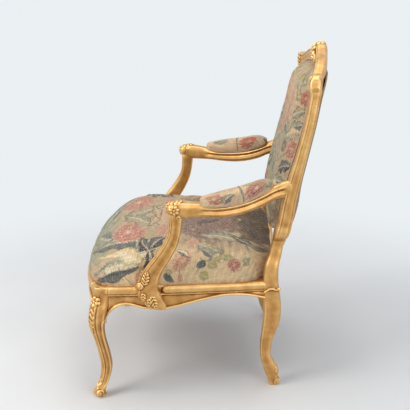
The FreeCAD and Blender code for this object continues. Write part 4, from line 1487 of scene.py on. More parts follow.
@dataclass(frozen=True)
class Tapestry:
    """Flowers and leaves woven in wool on each of the covers."""

    seat_ground: tuple[Wash, ...] = (
        Wash((330, 0), (84, 420), Wool.CREAM, 1.0, 0.12),
        Wash((0, -120), (255, 150), Wool.SAND, 0.9),
        Wash((-10, -130), (110, 70), Wool.PEACH, 0.6),
        Wash((0, 90), (262, 150), Wool.MAUVE, 0.95, 0.2),
        Wash((0, 265), (262, 75), Wool.UMBER, 0.95, 0.2),
        Wash((0, -345), (330, 62), Wool.SAGE, 0.85, 0.3),
        Wash((330, -330), (70, 60), Wool.PEACH, 0.7),
    )
    seat_motifs: tuple[Motif, ...] = (
        Leaf((100, -130), (-30, -262), 42, Wool.SAND, Wool.SAGE, 3, 6, Wool.SLATE),
        Leaf((30, -120), (-95, -175), 30, Wool.SAND, Wool.PEACH, 2, -5, Wool.UMBER),
        Leaf((215, -235), (30, -330), 40, Wool.SAGE, Wool.SLATE, 4, 12, Wool.SLATE, 8),
        Leaf((255, -195), (150, -345), 46, Wool.SLATE, Wool.SAGE, 3, -10, Wool.INK, 7),
        Leaf((262, -150), (330, -362), 50, Wool.IVORY, Wool.SAGE, 4, 14, Wool.SLATE, 8),
        Leaf((300, -165), (240, -330), 30, Wool.IVORY, Wool.CREAM, 3, 4, Wool.OLIVE, 7),
        Leaf((318, -170), (366, -372), 17, Wool.SLATE, Wool.TEAL, 2, 8, Wool.INK, 5, Wool.SLATE),
        Leaf((262, -150), (185, -95), 34, Wool.SLATE, Wool.INK, 2, 6, Wool.INK, 5),
        Leaf((262, -150), (205, -205), 30, Wool.INK, Wool.SLATE, 3, 4, Wool.INK, 7),
        Leaf((262, -152), (350, -95), 28, Wool.SLATE, Wool.INK, 2, -6, Wool.INK, 6),
        Bloom((135, -232), 92, 0.58, 4, 13, Wool.ROSE, Wool.ROSE, Wool.PINK, Wool.IVORY, 3),
        Bloom((142, -112), 52, 0.95, 20, 9, Wool.ROSE, Wool.PEACH, Wool.PINK, Wool.SAND, 7),
        Bloom((350, -160), 20, 1.0, 0, 6, Wool.ROSE, Wool.PINK, Wool.PEACH, Wool.CREAM, 9),
        Stem(((262, -150), (300, -128), (352, -118)), 2.6, Wool.IVORY, 0.7),
        Stem(((262, -150), (275, -205), (292, -262)), 2.6, Wool.IVORY, 0.7),
        Stem(((262, -150), (248, -110), (240, -88)), 2.4, Wool.IVORY, 0.6),
        Stem(((322, -258), (345, -225), (364, -205)), 2.4, Wool.SLATE),
        Leaf((110, 60), (40, 150), 26, Wool.UMBER, Wool.INK, 2, 5, Wool.INK, 5, Wool.MAUVE),
        Bloom((135, 30), 62, 0.85, 10, 10, Wool.UMBER, Wool.MAUVE, Wool.MAUVE, Wool.PEACH, 12),
        Bloom((95, 175), 58, 0.7, -10, 10, Wool.UMBER, Wool.MAUVE, Wool.MAUVE, Wool.ROSE, 15),
        Leaf((178, 62), (240, 220), 30, Wool.SAGE, Wool.SAND, 4, 6, Wool.SLATE, 8),
        Leaf((225, 20), (278, 148), 22, Wool.SAND, Wool.SAGE, 3, -4, Wool.SLATE, 6),
        Leaf((205, 190), (262, 292), 20, Wool.SLATE, Wool.UMBER, 2, 4, Wool.INK, 6),
        Leaf((60, 230), (190, 290), 24, Wool.UMBER, Wool.INK, 3, 6, Wool.INK, 6, Wool.MAUVE),
        Bloom((230, 20), 34, 0.9, 0, 8, Wool.ROSE, Wool.PEACH, Wool.SAND, Wool.PINK, 18),
        Bloom((300, -8), 44, 0.95, 35, 9, Wool.ROSE, Wool.PINK, Wool.PEACH, Wool.CREAM, 20),
        Leaf((262, -40), (292, 20), 11, Wool.IVORY, Wool.TEAL, 2, 3, Wool.INK, 5),
        Leaf((262, 60), (292, 108), 15, Wool.SAGE, Wool.SLATE, 0, 4, Wool.SLATE, 5),
        Stem(((292, 60), (303, 82), (300, 118), (310, 150)), 2.2, Wool.SLATE),
        Stem(((303, 82), (330, 92), (350, 96)), 2.0, Wool.OLIVE),
        Leaf((308, 58), (322, 100), 15, Wool.TEAL, Wool.SLATE, 0, 0, Wool.TEAL, 3, Wool.SLATE),
        Leaf((303, 112), (284, 162), 12, Wool.OLIVE, Wool.SAND, 0, 0, Wool.OLIVE, 3),
        Leaf((312, 104), (328, 150), 14, Wool.OLIVE, Wool.SAND, 0, 0, Wool.OLIVE, 3),
        Leaf((348, 92), (360, 138), 14, Wool.OLIVE, Wool.SAND, 0, 0, Wool.OLIVE, 3),
        Leaf((292, 150), (300, 196), 12, Wool.OLIVE, Wool.SAGE, 0, 0, Wool.OLIVE, 3),
        Leaf((300, 236), (330, 288), 14, Wool.SAGE, Wool.OLIVE, 2, 0, Wool.SAGE, 4),
        Bloom((322, 214), 46, 0.42, 60, 10, Wool.RED, Wool.ROSE, Wool.PINK, Wool.IVORY, 23),
        Leaf((345, -58), (368, -12), 12, Wool.TEAL, Wool.SLATE, 0, 0, Wool.TEAL, 3, Wool.SLATE),
        Leaf((330, -60), (345, -20), 8, Wool.OLIVE, Wool.SAND, 0, 0, Wool.OLIVE, 3),
        Stem(((332, 0), (345, 8), (356, 14), (366, 6)), 2.2, Wool.SLATE),
        Bloom((358, 14), 13, 1.0, 0, 5, Wool.ROSE, Wool.PINK, Wool.PINK, Wool.PEACH, 25),
    )
    back_ground: tuple[Wash, ...] = (
        Wash((0, 150), (250, 70), Wool.PEACH, 0.75),
        Wash((90, 45), (150, 42), Wool.SAGE, 0.7),
        Wash((60, -20), (190, 40), Wool.SAND, 0.7),
        Wash((90, -85), (160, 42), Wool.SAGE, 0.75),
        Wash((262, 0), (30, 260), Wool.SAND, 0.8, 0.2),
        Wash((200, -190), (90, 60), Wool.UMBER, 0.7),
    )
    back_motifs: tuple[Motif, ...] = (
        Leaf((60, 205), (245, 232), 26, Wool.OLIVE, Wool.SAGE, 4, 5, Wool.SLATE, 8),
        Leaf((150, 235), (262, 176), 22, Wool.SAND, Wool.OLIVE, 3, -4, Wool.UMBER, 7),
        Bloom((255, 186), 26, 1.2, 0, 8, Wool.RED, Wool.ROSE, Wool.ROSE, Wool.PEACH, 31),
        Leaf((190, 120), (270, 150), 22, Wool.SAND, Wool.SAGE, 2, 4, Wool.INK, 6),
        Leaf((196, 92), (272, 112), 18, Wool.SAGE, Wool.SLATE, 3, -4, Wool.INK, 6),
        Leaf((185, 58), (268, 84), 22, Wool.CREAM, Wool.SAND, 2, 4, Wool.SLATE, 6),
        Bloom((245, 26), 34, 1.0, 0, 9, Wool.RED, Wool.ROSE, Wool.PINK, Wool.CREAM, 33),
        Bloom((182, 26), 30, 0.8, 0, 8, Wool.UMBER, Wool.MAUVE, Wool.MAUVE, Wool.PEACH, 35),
        Leaf((190, -48), (272, -20), 24, Wool.SLATE, Wool.INK, 3, 6, Wool.INK, 6),
        Leaf((170, -75), (262, -70), 22, Wool.SAGE, Wool.SLATE, 3, -6, Wool.INK, 6),
        Leaf((150, -100), (236, -92), 16, Wool.IVORY, Wool.SAND, 2, 3, Wool.OLIVE, 5),
        Bloom((95, 150), 74, 0.85, 10, 13, Wool.ROSE, Wool.PINK, Wool.PEACH, Wool.CREAM, 37),
        Bloom((30, 60), 52, 0.85, 0, 11, Wool.ROSE, Wool.PEACH, Wool.PINK, Wool.CREAM, 39),
        Leaf((70, 90), (180, 62), 26, Wool.SAGE, Wool.SLATE, 4, 6, Wool.SLATE, 8),
        Leaf((20, 30), (140, -30), 30, Wool.SAND, Wool.SAGE, 4, 8, Wool.SLATE, 8),
        Leaf((30, -30), (150, -110), 32, Wool.SAGE, Wool.SLATE, 4, -8, Wool.INK, 8),
        Bloom((85, -150), 48, 0.8, 0, 10, Wool.RED, Wool.ROSE, Wool.PINK, Wool.CREAM, 41),
        Leaf((110, -185), (230, -215), 24, Wool.OLIVE, Wool.SAND, 3, 5, Wool.SLATE, 7),
        Stem(((0, -240), (18, -120), (6, 0), (30, 60), (80, 140)), 3.0, Wool.SLATE),
        Stem(((6, 0), (90, -40), (170, -20), (245, 26)), 2.6, Wool.SLATE),
    )
    arm_motifs: tuple[Motif, ...] = (
        Wash((-60, 0), (45, 70), Wool.CREAM, 0.7),
        Wash((20, 20), (26, 60), Wool.CREAM, 0.7),
        Wash((62, -10), (26, 60), Wool.SAGE, 0.55),
        Wash((-34, -6), (16, 30), Wool.SAGE, 0.4),
        Bloom((-50, 38), 27, 0.8, 15, 9, Wool.RED, Wool.ROSE, Wool.PEACH, Wool.IVORY, 53),
        Bloom((40, 38), 30, 0.85, 30, 10, Wool.RED, Wool.ROSE, Wool.PINK, Wool.IVORY, 51),
        Bloom((30, -34), 29, 0.8, -20, 10, Wool.RED, Wool.ROSE, Wool.ROSE, Wool.PEACH, 55),
        Leaf((-6, 30), (-34, 58), 12, Wool.SAGE, Wool.SLATE, 2, 3, Wool.SLATE, 5),
        Leaf((10, 6), (52, 8), 11, Wool.OLIVE, Wool.SAGE, 2, 3, Wool.SLATE, 5),
        Leaf((-20, -18), (-64, -36), 13, Wool.SAGE, Wool.SLATE, 2, -3, Wool.SLATE, 5),
        Leaf((66, -20), (100, -46), 12, Wool.SAND, Wool.UMBER, 2, 3, Wool.UMBER, 5),
        Leaf((62, 26), (92, 50), 10, Wool.OLIVE, Wool.SAGE, 0, 3, Wool.SLATE, 4),
        Stem(((4, -60), (0, -20), (4, 10), (9, 34), (20, 62)), 2.6, Wool.SLATE),
        Stem(((-22, 64), (-26, 40), (-18, 20)), 1.8, Wool.ROSE, 0.6),
    )

    @staticmethod
    def woven(places: Array, ground: Wool, motifs: Sequence[Motif], flips: Sequence[float],
              unevenness: float = 0.18) -> tuple[Array, Array]:
        """Weave motifs in their order, once for each flip.

        Args:
            places: Places on the flat cloth.
            ground: The wool under all of them.
            motifs: What is woven on it.
            flips: 1, and -1 for a mirrored copy.
            unevenness: Strength of the dye's streaks.

        Returns:
            Colours and raised threads of the places.
        """
        cloth = Cloth.of(places, ground)
        for motif in motifs:
            for flip in flips:
                motif.weave(cloth, flip)
        cloth.hatch(unevenness)
        return cloth.colour, cloth.raised

    def seat(self, places: Array) -> tuple[Array, Array]:
        """Colours and raised threads of the seat."""
        return self.woven(places, Wool.SAND, self.seat_ground + self.seat_motifs, (-1.0, 1.0))

    def back(self, places: Array) -> tuple[Array, Array]:
        """Colours and raised threads of the back."""
        return self.woven(places, Wool.SAND, self.back_ground + self.back_motifs, (-1.0, 1.0))

    def arm(self, places: Array) -> tuple[Array, Array]:
        """Colours and raised threads of an arm pad."""
        return self.woven(places, Wool.PEACH, self.arm_motifs, (1.0,), 0.12)


@dataclass
class Upholstery:
    """The stuffed seat, back and arm pads and their covers.

    Attributes:
        plan: The seat frame's plan.
        woven: The patterns.
        seat_levels: Rows of height and how far the cover lies behind the front, inside the flanks and
            before the rear.
        seat_rear: Where the seat ends before the posts.
        tongue: How much farther it runs between them.
        back_rows: Rows of height, half width, the frame's face and how far the stuffing stands out of it.
        arm_rows: Rows of place along the arm, the pad's middle across and up, its half width and its rise.
        seat_cells: Cells of the seat's grid from its middle to its edge, and so for the back and the arms.
        seat_reach: Flat distance from the seat's middle to its edge.
        seat_inner: Flat distance from its middle that the crown takes.
        seat_middle: Where the middle lies from front to rear.
        seat_drop: Share by which the crown is lowered above drop_above.
        back_flat: Size of a cell of the back's flat cloth, and arm_flat that of an arm pad's.
        back_reach: Flat half sizes of the back.
        arm_bow: Degrees from an arm pad's top to where its cover is tucked under.
    """

    plan: SeatPlan
    woven: Tapestry = field(default_factory=Tapestry)
    seat_levels: Table = (
        (335, 9, 15, 0), (356, 2, 14.5, 0), (378, 12, 14.5, 0), (400, 29, 16, 1), (421, 53, 24, 6),
        (437, 82, 44, 20), (448, 122, 82, 52), (452, 170, 130, 96),
    )
    seat_rear: float = 163.0
    tongue: float = 34.0
    back_rows: Table = (
        (452, 172, 195, 24), (468, 208, 198, 38), (500, 219, 204.5, 48), (560, 222, 214.5, 53),
        (630, 222, 232, 55), (700, 221, 251, 57), (780, 218, 270.5, 57), (840, 211, 281, 55),
        (872, 196, 286.5, 48), (890, 162, 289.5, 39), (903, 96, 291.5, 22),
    )
    arm_rows: Table = (
        (-8, 300, 577, 25, 20), (20, 295, 579.5, 27, 22), (50, 288.5, 582.5, 29, 26),
        (90, 278, 586.5, 29.5, 30), (125, 266, 594.5, 29, 30), (155, 255, 604.5, 27, 27),
        (178, 247, 611, 24, 20), (190, 243, 614, 21, 14),
    )
    seat_cells: int = 44
    seat_reach: float = 376.0
    seat_inner: float = 175.0
    seat_middle: float = -75.0
    seat_drop: float = 0.21
    drop_above: float = 372.0
    back_cells: int = 38
    back_flat: tuple[float, float] = (7.2, 6.6)
    back_reach: tuple[float, float] = (273.6, 250.8)
    arm_cells: int = 26
    arm_flat: tuple[float, float] = (4.4, 2.6)
    arm_bow: float = 116.0

    def seat_creases(self, points: Array, places: Array, outward: Array) -> Array:
        """Folds at the front corners, a pull towards the tacks and the small hollows of hand stuffing."""
        x, y = np.abs(places[:, 0]), places[:, 1]
        share = np.maximum(x, np.abs(y)) / self.seat_reach
        corner = (x + y) / math.sqrt(2.0)
        fold = np.zeros(len(points))
        for at, depth in ((-9.0, 2.6), (5.0, 1.6), (17.0, 1.0)):
            fold -= depth * bump(corner, at, 3.4) * smoothstep(0.74, 0.93, share) * (y < 0)
        edge = np.where(x > np.abs(y), y, x * np.sign(places[:, 0]))
        pull = 0.8 * np.sin(edge / 9.5 + 2.0 * noise(places, 120.0, 81)) * smoothstep(0.88, 0.99, share)
        hollow = 1.6 * noise(places, 95.0, 82) * smoothstep(0.98, 0.85, share)
        return points + outward * (fold + pull + hollow)[:, None]

    def back_creases(self, points: Array, places: Array, outward: Array) -> Array:
        """The small hollows of hand stuffing in the back."""
        share = np.max(np.abs(places) / self.back_reach, axis=1)
        hollow = 1.4 * noise(places, 90.0, 83) * smoothstep(0.98, 0.85, share)
        return points + outward * hollow[:, None]

    def seat(self) -> Cover:
        """The seat cover, tacked to the top of the rails."""
        half, inner = self.seat_cells, self.seat_inner
        a, b, ring = square_rings(half)
        levels = np.array(self.seat_levels)[::-1]
        run = np.concatenate([[0.0], np.cumsum(np.hypot(np.diff(levels[:, 0]), np.diff(levels[:, 2])))])
        total = inner + run[-1]
        out = ring * total
        rows = through(run, levels, np.clip(out.ravel() - inner, 0, None)).reshape(*out.shape, 4)
        grow = np.clip(out / inner, 0, 1)
        a, b = rounded(a, b, 3.2 + 8.0 * smoothstep(0.3, 1.0, ring))
        height = rows[..., 0] + 4.0 * (1 - grow**2)
        height -= self.seat_drop * np.clip(height - self.drop_above, 0.0, None)
        x = 0.0
        for _ in range(3):
            front = self.plan.front(x) + rows[..., 1] + 8.0 * smoothstep(350.0, 388.0, height)
            tongue = self.tongue * smoothstep(232.0, 196.0, np.abs(x)) * smoothstep(424.0, 396.0, height)
            rear = self.seat_rear - rows[..., 3] + tongue
            y = front + (rear - front) * (b + 1) / 2
            x = a * (self.plan.flank(y) - rows[..., 2])
        x, y = x * grow, self.seat_middle + (y - self.seat_middle) * grow
        return Cover("seat_cushion", ("seat_cover", "seat_stuffing"), np.stack([x, y, height], axis=-1),
                     flat_grid(half, total / half, total / half), self.woven.seat, inward=(0, 0, 3.5),
                     pressure=5.0, cap=5.0)

    def back(self) -> Cover:
        """The cover of the padded back."""
        a, b, ring = square_rings(self.back_cells)
        a, b = rounded(a, b, 9.0)
        u, v = a * ring, b * ring
        foot, top = self.back_rows[0][0], self.back_rows[-1][0]
        height = foot + (top - foot) * (v + 1) / 2
        width, face, swell = (column(self.back_rows, k, height) for k in (1, 2, 3))
        x = u * width
        edge = np.sqrt(np.clip(1 - np.clip((ring - 0.86) / 0.14, 0, 1) ** 2, 0, 1))
        y = face + dished(x) - 4.0 - swell * (1 - np.abs(u) ** 4) * edge
        return Cover("back_pad", ("back_cover", "back_stuffing"), np.stack([x, y, height], axis=-1),
                     flat_grid(self.back_cells, *self.back_flat), self.woven.back, inward=(0, 5.0, 0),
                     pressure=4.0, cap=5.0)

    def arm(self, side: Side) -> Cover:
        """The cover of an arm pad, domed over its stuffing and tucked under all round."""
        a, b, ring = square_rings(self.arm_cells)
        a, b = rounded(a, b, 2.0 + 3.2 * smoothstep(0.2, 1.0, ring))
        low, high = self.arm_rows[0][0], self.arm_rows[-1][0]
        bow = ring * math.radians(self.arm_bow)
        reach = np.sin(bow)
        square = 2.3 + 4.2 * np.abs(a) ** 6
        rise = np.where(np.cos(bow) > 0, np.clip(1 - reach**square, 0, 1) ** (1 / square), np.cos(bow))
        along = 0.5 * (low + high) + 0.5 * (high - low) * a * reach
        x, z, wide, tall = (column(self.arm_rows, k, along) for k in (1, 2, 3, 4))
        points = np.stack([side.value * (x + wide * b * reach), along, z + tall * rise], axis=-1)
        nodes = (f"arm_pad_cover_{side.label}", f"arm_pad_stuffing_{side.label}")
        return Cover(f"arm_pad_{side.label}", nodes, points, flat_grid(self.arm_cells, *self.arm_flat),
                     self.woven.arm, inward=(0, 0, 0.5), pressure=3.0, cap=2.0)


def slab(name: str, face: Array, thickness: Array, flat: Array) -> bpy.types.Object:
    """A closed sheet of cloth from a grid over its outer face.

    Args:
        name: The object's name.
        face: Points in millimetres, rows by columns.
        thickness: From the outer face to the inner one.
        flat: Places on the flat cloth in millimetres.

    Returns:
        The object, with its flat places stored.
    """
    rows, columns = face.shape[:2]
    outer, count = grid_quads(rows, columns), rows * columns
    points = np.vstack([face.reshape(-1, 3), (face + thickness).reshape(-1, 3)])
    edge = Cover.border(rows, columns)
    after = np.roll(edge, -1)
    rim = np.stack([edge, edge + count, after + count, after], axis=1)
    obj = make_mesh(name, points, np.vstack([outer, outer[:, ::-1] + count, rim]).tolist())
    lay_cloth(obj, np.vstack([flat.reshape(-1, 2)] * 2))
    return obj


def lay_cloth(obj: bpy.types.Object, places: Array) -> None:
    """Store each vertex's place on the flat cloth, given in millimetres, in metres."""
    cloth = obj.data.attributes.new("cloth", "FLOAT_VECTOR", "POINT")
    laid = np.zeros((len(obj.data.vertices), 3), np.float32)
    laid[:len(places), :2] = places * MM
    cloth.data.foreach_set("vector", laid.ravel())


def straps(name: str, runs: Sequence[tuple[Array, Array]], width: float,
           thickness: float) -> bpy.types.Object:
    """Flat straps along paths, as one closed mesh.

    Args:
        name: The object's name.
        runs: For each strap its middle line and the direction out of its face at each point.
        width: Their width.
        thickness: Their thickness.

    Returns:
        The object, with the place across and along each strap stored.
    """
    across = np.linspace(-0.5, 0.5, 7)
    ring = np.concatenate([np.stack([across, np.full(7, 0.5)], 1),
                           np.stack([across[::-1], np.full(7, -0.5)], 1)])
    points, faces, places, total = [], [], [], 0
    for line, out in runs:
        side = unit(np.cross(np.gradient(line, axis=0), out))
        wide = side[:, None] * ring[None, :, :1] * width
        skin = Skin(line[:, None] + wide + out[:, None] * ring[None, :, 1:] * thickness)
        far = run_along(line)
        place = np.stack(np.broadcast_arrays(ring[None, :, 0] * width, far[:, None]), axis=-1).reshape(-1, 2)
        points.append(skin.points())
        faces += [tuple(total + k for k in face) for face in skin.faces()]
        places.append(np.vstack([place, [[0.0, far[0]], [0.0, far[-1]]]]))
        total += len(points[-1])
    obj = make_mesh(name, np.vstack(points), faces)
    lay_cloth(obj, np.vstack(places))
    return obj


@dataclass
class Underwork:
    """What carries the stuffing: the straps, the hessian and the linen on the outside of the back.

    Attributes:
        plan: The seat frame's plan.
        work: The upholstery that it carries.
        width: Width of a strap, and thickness its thickness.
        pitch: Distance between straps.
        seat_height: Middle height of the seat's straps.
        weave: How far a strap goes up and down between the others.
        first_cross: Place of the foremost strap across the seat.
        first_level: Height of the lowest strap across the back.
        hessian_height: Height of the upper face of the seat's hessian.
        linen_rows: Rows of height, half width and face of the linen.
        linen_fullness: How square its outline is.
        braid_inset: Share of the linen's size at which the braid runs.
    """

    plan: SeatPlan
    work: Upholstery
    width: float = 54.0
    pitch: float = 64.0
    thickness: float = 1.0
    seat_height: float = 336.1
    weave: float = 0.55
    first_cross: float = -225.0
    first_level: float = 520.0
    hessian_height: float = 338.1
    linen_fullness: float = 12.0
    braid_inset: float = 0.972
    linen_rows: Table = (
        (446, 168, 223.5), (470, 206, 234), (505, 216, 244.5), (565, 217, 253.5), (631, 216, 266.5),
        (705, 214, 282), (780, 210, 297), (840, 202, 308), (872, 206, 314), (897, 200, 318.5),
    )

    def seat_straps(self) -> bpy.types.Object:
        """Six straps from front to rear, over and under six from side to side."""
        half, up = 0.5 * self.width, (0.0, 0.0, 1.0)
        runs = []
        for i in range(6):
            x = self.pitch * (i - 2.5)
            y = np.linspace(float(self.plan.front(abs(x) + half)) + 26.0, 192.0, 70)
            turn = math.pi * ((y - self.first_cross) / self.pitch + i)
            line = np.stack([np.full(70, x), y, self.seat_height + self.weave * np.cos(turn)], 1)
            runs.append((line, np.tile(up, (70, 1))))
        for j in range(6):
            y = self.first_cross + self.pitch * j
            reach = float(self.plan.flank(y + half)) - 36.0
            x = np.linspace(-reach, reach, 80)
            turn = math.pi * (x / self.pitch + 2.5 + j)
            line = np.stack([x, np.full(80, y), self.seat_height - self.weave * np.cos(turn)], 1)
            runs.append((line, np.tile(up, (80, 1))))
        return straps("seat_straps", runs, self.width, self.thickness)

    def seat_hessian(self) -> bpy.types.Object:
        """The cloth over the seat's straps."""
        half = 30
        a, b, ring = square_rings(half)
        a, b = rounded(a, b, 7.0)
        x = 0.0
        for _ in range(3):
            rear = 163.0 + 29.0 * smoothstep(214.0, 186.0, np.abs(x))
            front = self.plan.front(x) + 22.0
            y = front + (rear - front) * (b * ring + 1) / 2
            x = a * ring * (self.plan.flank(y) - 30.0)
        sag = 0.25 * np.sin(math.pi * x / self.pitch) * np.sin(math.pi * y / self.pitch)
        face = np.stack([x, y, self.hessian_height + sag], axis=-1)
        return slab("seat_base_cloth", face, np.array([0.0, 0.0, -0.8]), face[..., :2])

    def face_y(self, z: Array, x: Array, depth: float | Array) -> Array:
        """Depth of a layer behind the face of the back frame."""
        return column(self.work.back_rows, 2, z) + dished(x) + depth

    def back_straps(self) -> bpy.types.Object:
        """Upright and level straps across the back frame."""
        runs = []
        out = np.array([0.0, -1.0, 0.22]) / math.hypot(1.0, 0.22)
        for i in range(4):
            x = self.pitch * (i - 1.5)
            z = np.linspace(457.0, 898.0 if abs(x) < self.pitch else 892.0, 60)
            line = np.stack([np.full(60, x), self.face_y(z, np.full(60, x), 3.1), z], 1)
            runs.append((line, np.tile(out, (60, 1))))
        for j in range(5):
            z = self.first_level + self.pitch * j
            x = np.linspace(-213.0, 213.0, 60)
            line = np.stack([x, self.face_y(np.full(60, z), x, 2.0), np.full(60, z)], 1)
            runs.append((line, np.tile(out, (60, 1))))
        return straps("back_straps", runs, self.width, self.thickness)

    def back_hessian(self) -> bpy.types.Object:
        """The cloth over the straps of the back."""
        a, b, ring = square_rings(26)
        a, b = rounded(a, b, 9.0)
        z = 456.0 + (899.0 - 456.0) * (b * ring + 1) / 2
        x = a * ring * (column(self.work.back_rows, 1, z) - 4.0)
        face = np.stack([x, self.face_y(z, x, 0.5), z], axis=-1)
        return slab("back_base_cloth", face, np.array([0.0, 0.8, 0.0]), np.stack([x, z], axis=-1))

    def linen_at(self, u: Array, v: Array) -> Array:
        """Points of the linen from places across and up it, from -1 to 1."""
        foot, top = self.linen_rows[0][0], self.linen_rows[-1][0]
        z = foot + (top - foot) * (v + 1) / 2
        half, face = (column(self.linen_rows, k, z) for k in (1, 2))
        x = u * half
        edge = np.maximum(np.abs(u), np.abs(v))
        proud = 4.0 * (1.2 - u**2) * smoothstep(1.0, 0.93, edge) - smoothstep(0.97, 1.0, edge)
        return np.stack([x, face + dished(x) + proud, z], axis=-1)

    def linen(self) -> bpy.types.Object:
        """Plain linen stretched over the outside of the back."""
        a, b, ring = square_rings(60)
        a, b = rounded(a, b, self.linen_fullness)
        face = self.linen_at(a * ring, b * ring)
        pull = noise(face.reshape(-1, 3)[:, ::2], 150.0, 71).reshape(ring.shape)
        face[..., 1] += 0.6 * pull * smoothstep(1.0, 0.8, ring)
        return slab("back_linen", face, np.array([0.0, -1.2, 0.0]), face[..., ::2])

    def linen_edge(self, count: int = 180) -> tuple[Array, Array]:
        """Points round the linen's edge and the direction out of its face at each."""
        turn = turns(count)
        u, v = rounded(np.cos(turn), np.sin(turn), self.linen_fullness)
        points = self.linen_at(self.braid_inset * u, self.braid_inset * v)
        slope = 2 * DISH_DEPTH * points[:, 0] / DISH_HALF**2
        return points, unit(np.stack([slope, np.ones(count), np.full(count, -0.2)], axis=1))


class Repeats:
    """A Geometry Nodes tree that sets small pieces along or on a mesh, with named sizes."""

    def __init__(self, name: str, sizes: dict[str, float]) -> None:
        """Start a tree with a mesh coming in and its sizes as inputs."""
        self.tree = bpy.data.node_groups.new(name, "GeometryNodeTree")
        self.sizes = sizes
        self.tree.interface.new_socket("Geometry", in_out="INPUT", socket_type="NodeSocketGeometry")
        for label in sizes:
            self.tree.interface.new_socket(label, in_out="INPUT", socket_type="NodeSocketFloat")
        self.tree.interface.new_socket("Geometry", in_out="OUTPUT", socket_type="NodeSocketGeometry")
        self.given = self.tree.nodes.new("NodeGroupInput")

    def add(self, kind: str, inputs: dict[str | int, object] | None = None,
            **values: object) -> bpy.types.Node:
        """Add a node with its properties, and with sockets or values put into its inputs.

        Args:
            kind: The node's type.
            inputs: Sockets or values by the input's name or number.
            values: Properties by name.

        Returns:
            The node.
        """
        node = self.tree.nodes.new(kind)
        for key, value in values.items():
            setattr(node, key, value)
        for key, value in (inputs or {}).items():
            if isinstance(value, Socket):
                self.tree.links.new(value, node.inputs[key])
            else:
                node.inputs[key].default_value = value
        return node

    def out(self, kind: str, inputs: dict[str | int, object] | None = None,
            **values: object) -> Socket:
        """Add a node and give its first output."""
        return self.add(kind, inputs, **values).outputs[0]

    def size(self, label: str) -> Socket:
        """The input socket of a named size."""
        return self.given.outputs[label]

    @property
    def mesh(self) -> Socket:
        """The mesh that comes in."""
        return self.given.outputs[0]

    def stored(self, name: str, kind: str) -> Socket:
        """An attribute of the mesh."""
        return self.out("GeometryNodeInputNamedAttribute", {"Name": name}, data_type=kind)

    def vector(self, inputs: dict[int, object]) -> Socket:
        """A vector from its parts by number."""
        return self.out("ShaderNodeCombineXYZ", inputs)

    def product(self, a: Socket, b: float) -> Socket:
        """A size times a number."""
        return self.out("ShaderNodeMath", {0: a, 1: b}, operation="MULTIPLY")

    def moved(self, shape: Socket, by: object) -> Socket:
        """A shape somewhere else."""
        return self.out("GeometryNodeTransform", {"Geometry": shape, "Translation": by})

    def swept(self, path: Socket, profile: Socket) -> Socket:
        """A profile swept along a path."""
        return self.out("GeometryNodeCurveToMesh", {"Curve": path, "Profile Curve": profile})

    def set_on(self, points: Socket, piece: Socket, turn: Socket,
               **inputs: Socket) -> Socket:
        """A piece set on each point, turned."""
        return self.out("GeometryNodeInstanceOnPoints", {
            "Points": points, "Instance": piece, "Rotation": turn, **inputs,
        })

    def joined(self, *shapes: Socket) -> Socket:
        """Shapes as one."""
        whole = self.add("GeometryNodeJoinGeometry")
        for shape in shapes:
            self.tree.links.new(shape, whole.inputs[0])
        return whole.outputs[0]

    def facing(self, first: Socket | None = None) -> Socket:
        """A turn that points Z out of the surface, with X along a first direction where one is given."""
        align = "FunctionNodeAlignRotationToVector"
        turn = {"Vector": self.stored("facing", "FLOAT_VECTOR")}
        if first is None:
            return self.out(align, turn, axis="Z")
        turn["Rotation"] = self.out(align, {"Vector": first}, axis="X")
        return self.out(align, turn, axis="Z", pivot_axis="X")

    def finish(self, shape: Socket, material: bpy.types.Material,
               obj: bpy.types.Object) -> bpy.types.Object:
        """End the tree, bake it into a plain mesh and return the object that holds it."""
        real = self.out("GeometryNodeRealizeInstances", {"Geometry": shape})
        painted = self.out("GeometryNodeSetMaterial", {"Geometry": real, "Material": material})
        self.tree.links.new(painted, self.tree.nodes.new("NodeGroupOutput").inputs[0])
        modifier = obj.modifiers.new(self.tree.name, "NODES")
        modifier.node_group = self.tree
        for item in self.tree.interface.items_tree:
            if item.name in self.sizes:
                modifier[item.identifier] = self.sizes[item.name]
        mesh = evaluated(obj)
        obj.modifiers.clear()
        old, obj.data = obj.data, mesh
        bpy.data.meshes.remove(old)
        mesh.name = obj.name
        return obj


def marked_points(name: str, points: Array, facing: Array, closed: bool = False) -> bpy.types.Object:
    """A mesh of points, joined in a loop where closed, that keeps the direction each one faces."""
    count = len(points)
    mesh = bpy.data.meshes.new(name)
    edges = [(k, (k + 1) % count) for k in range(count)] if closed else []
    mesh.from_pydata((np.asarray(points) * MM).tolist(), edges, [])
    obj = new_object(name, mesh)
    attribute = mesh.attributes.new("facing", "FLOAT_VECTOR", "POINT")
    attribute.data.foreach_set("vector", np.asarray(facing, np.float32).ravel())
    return obj


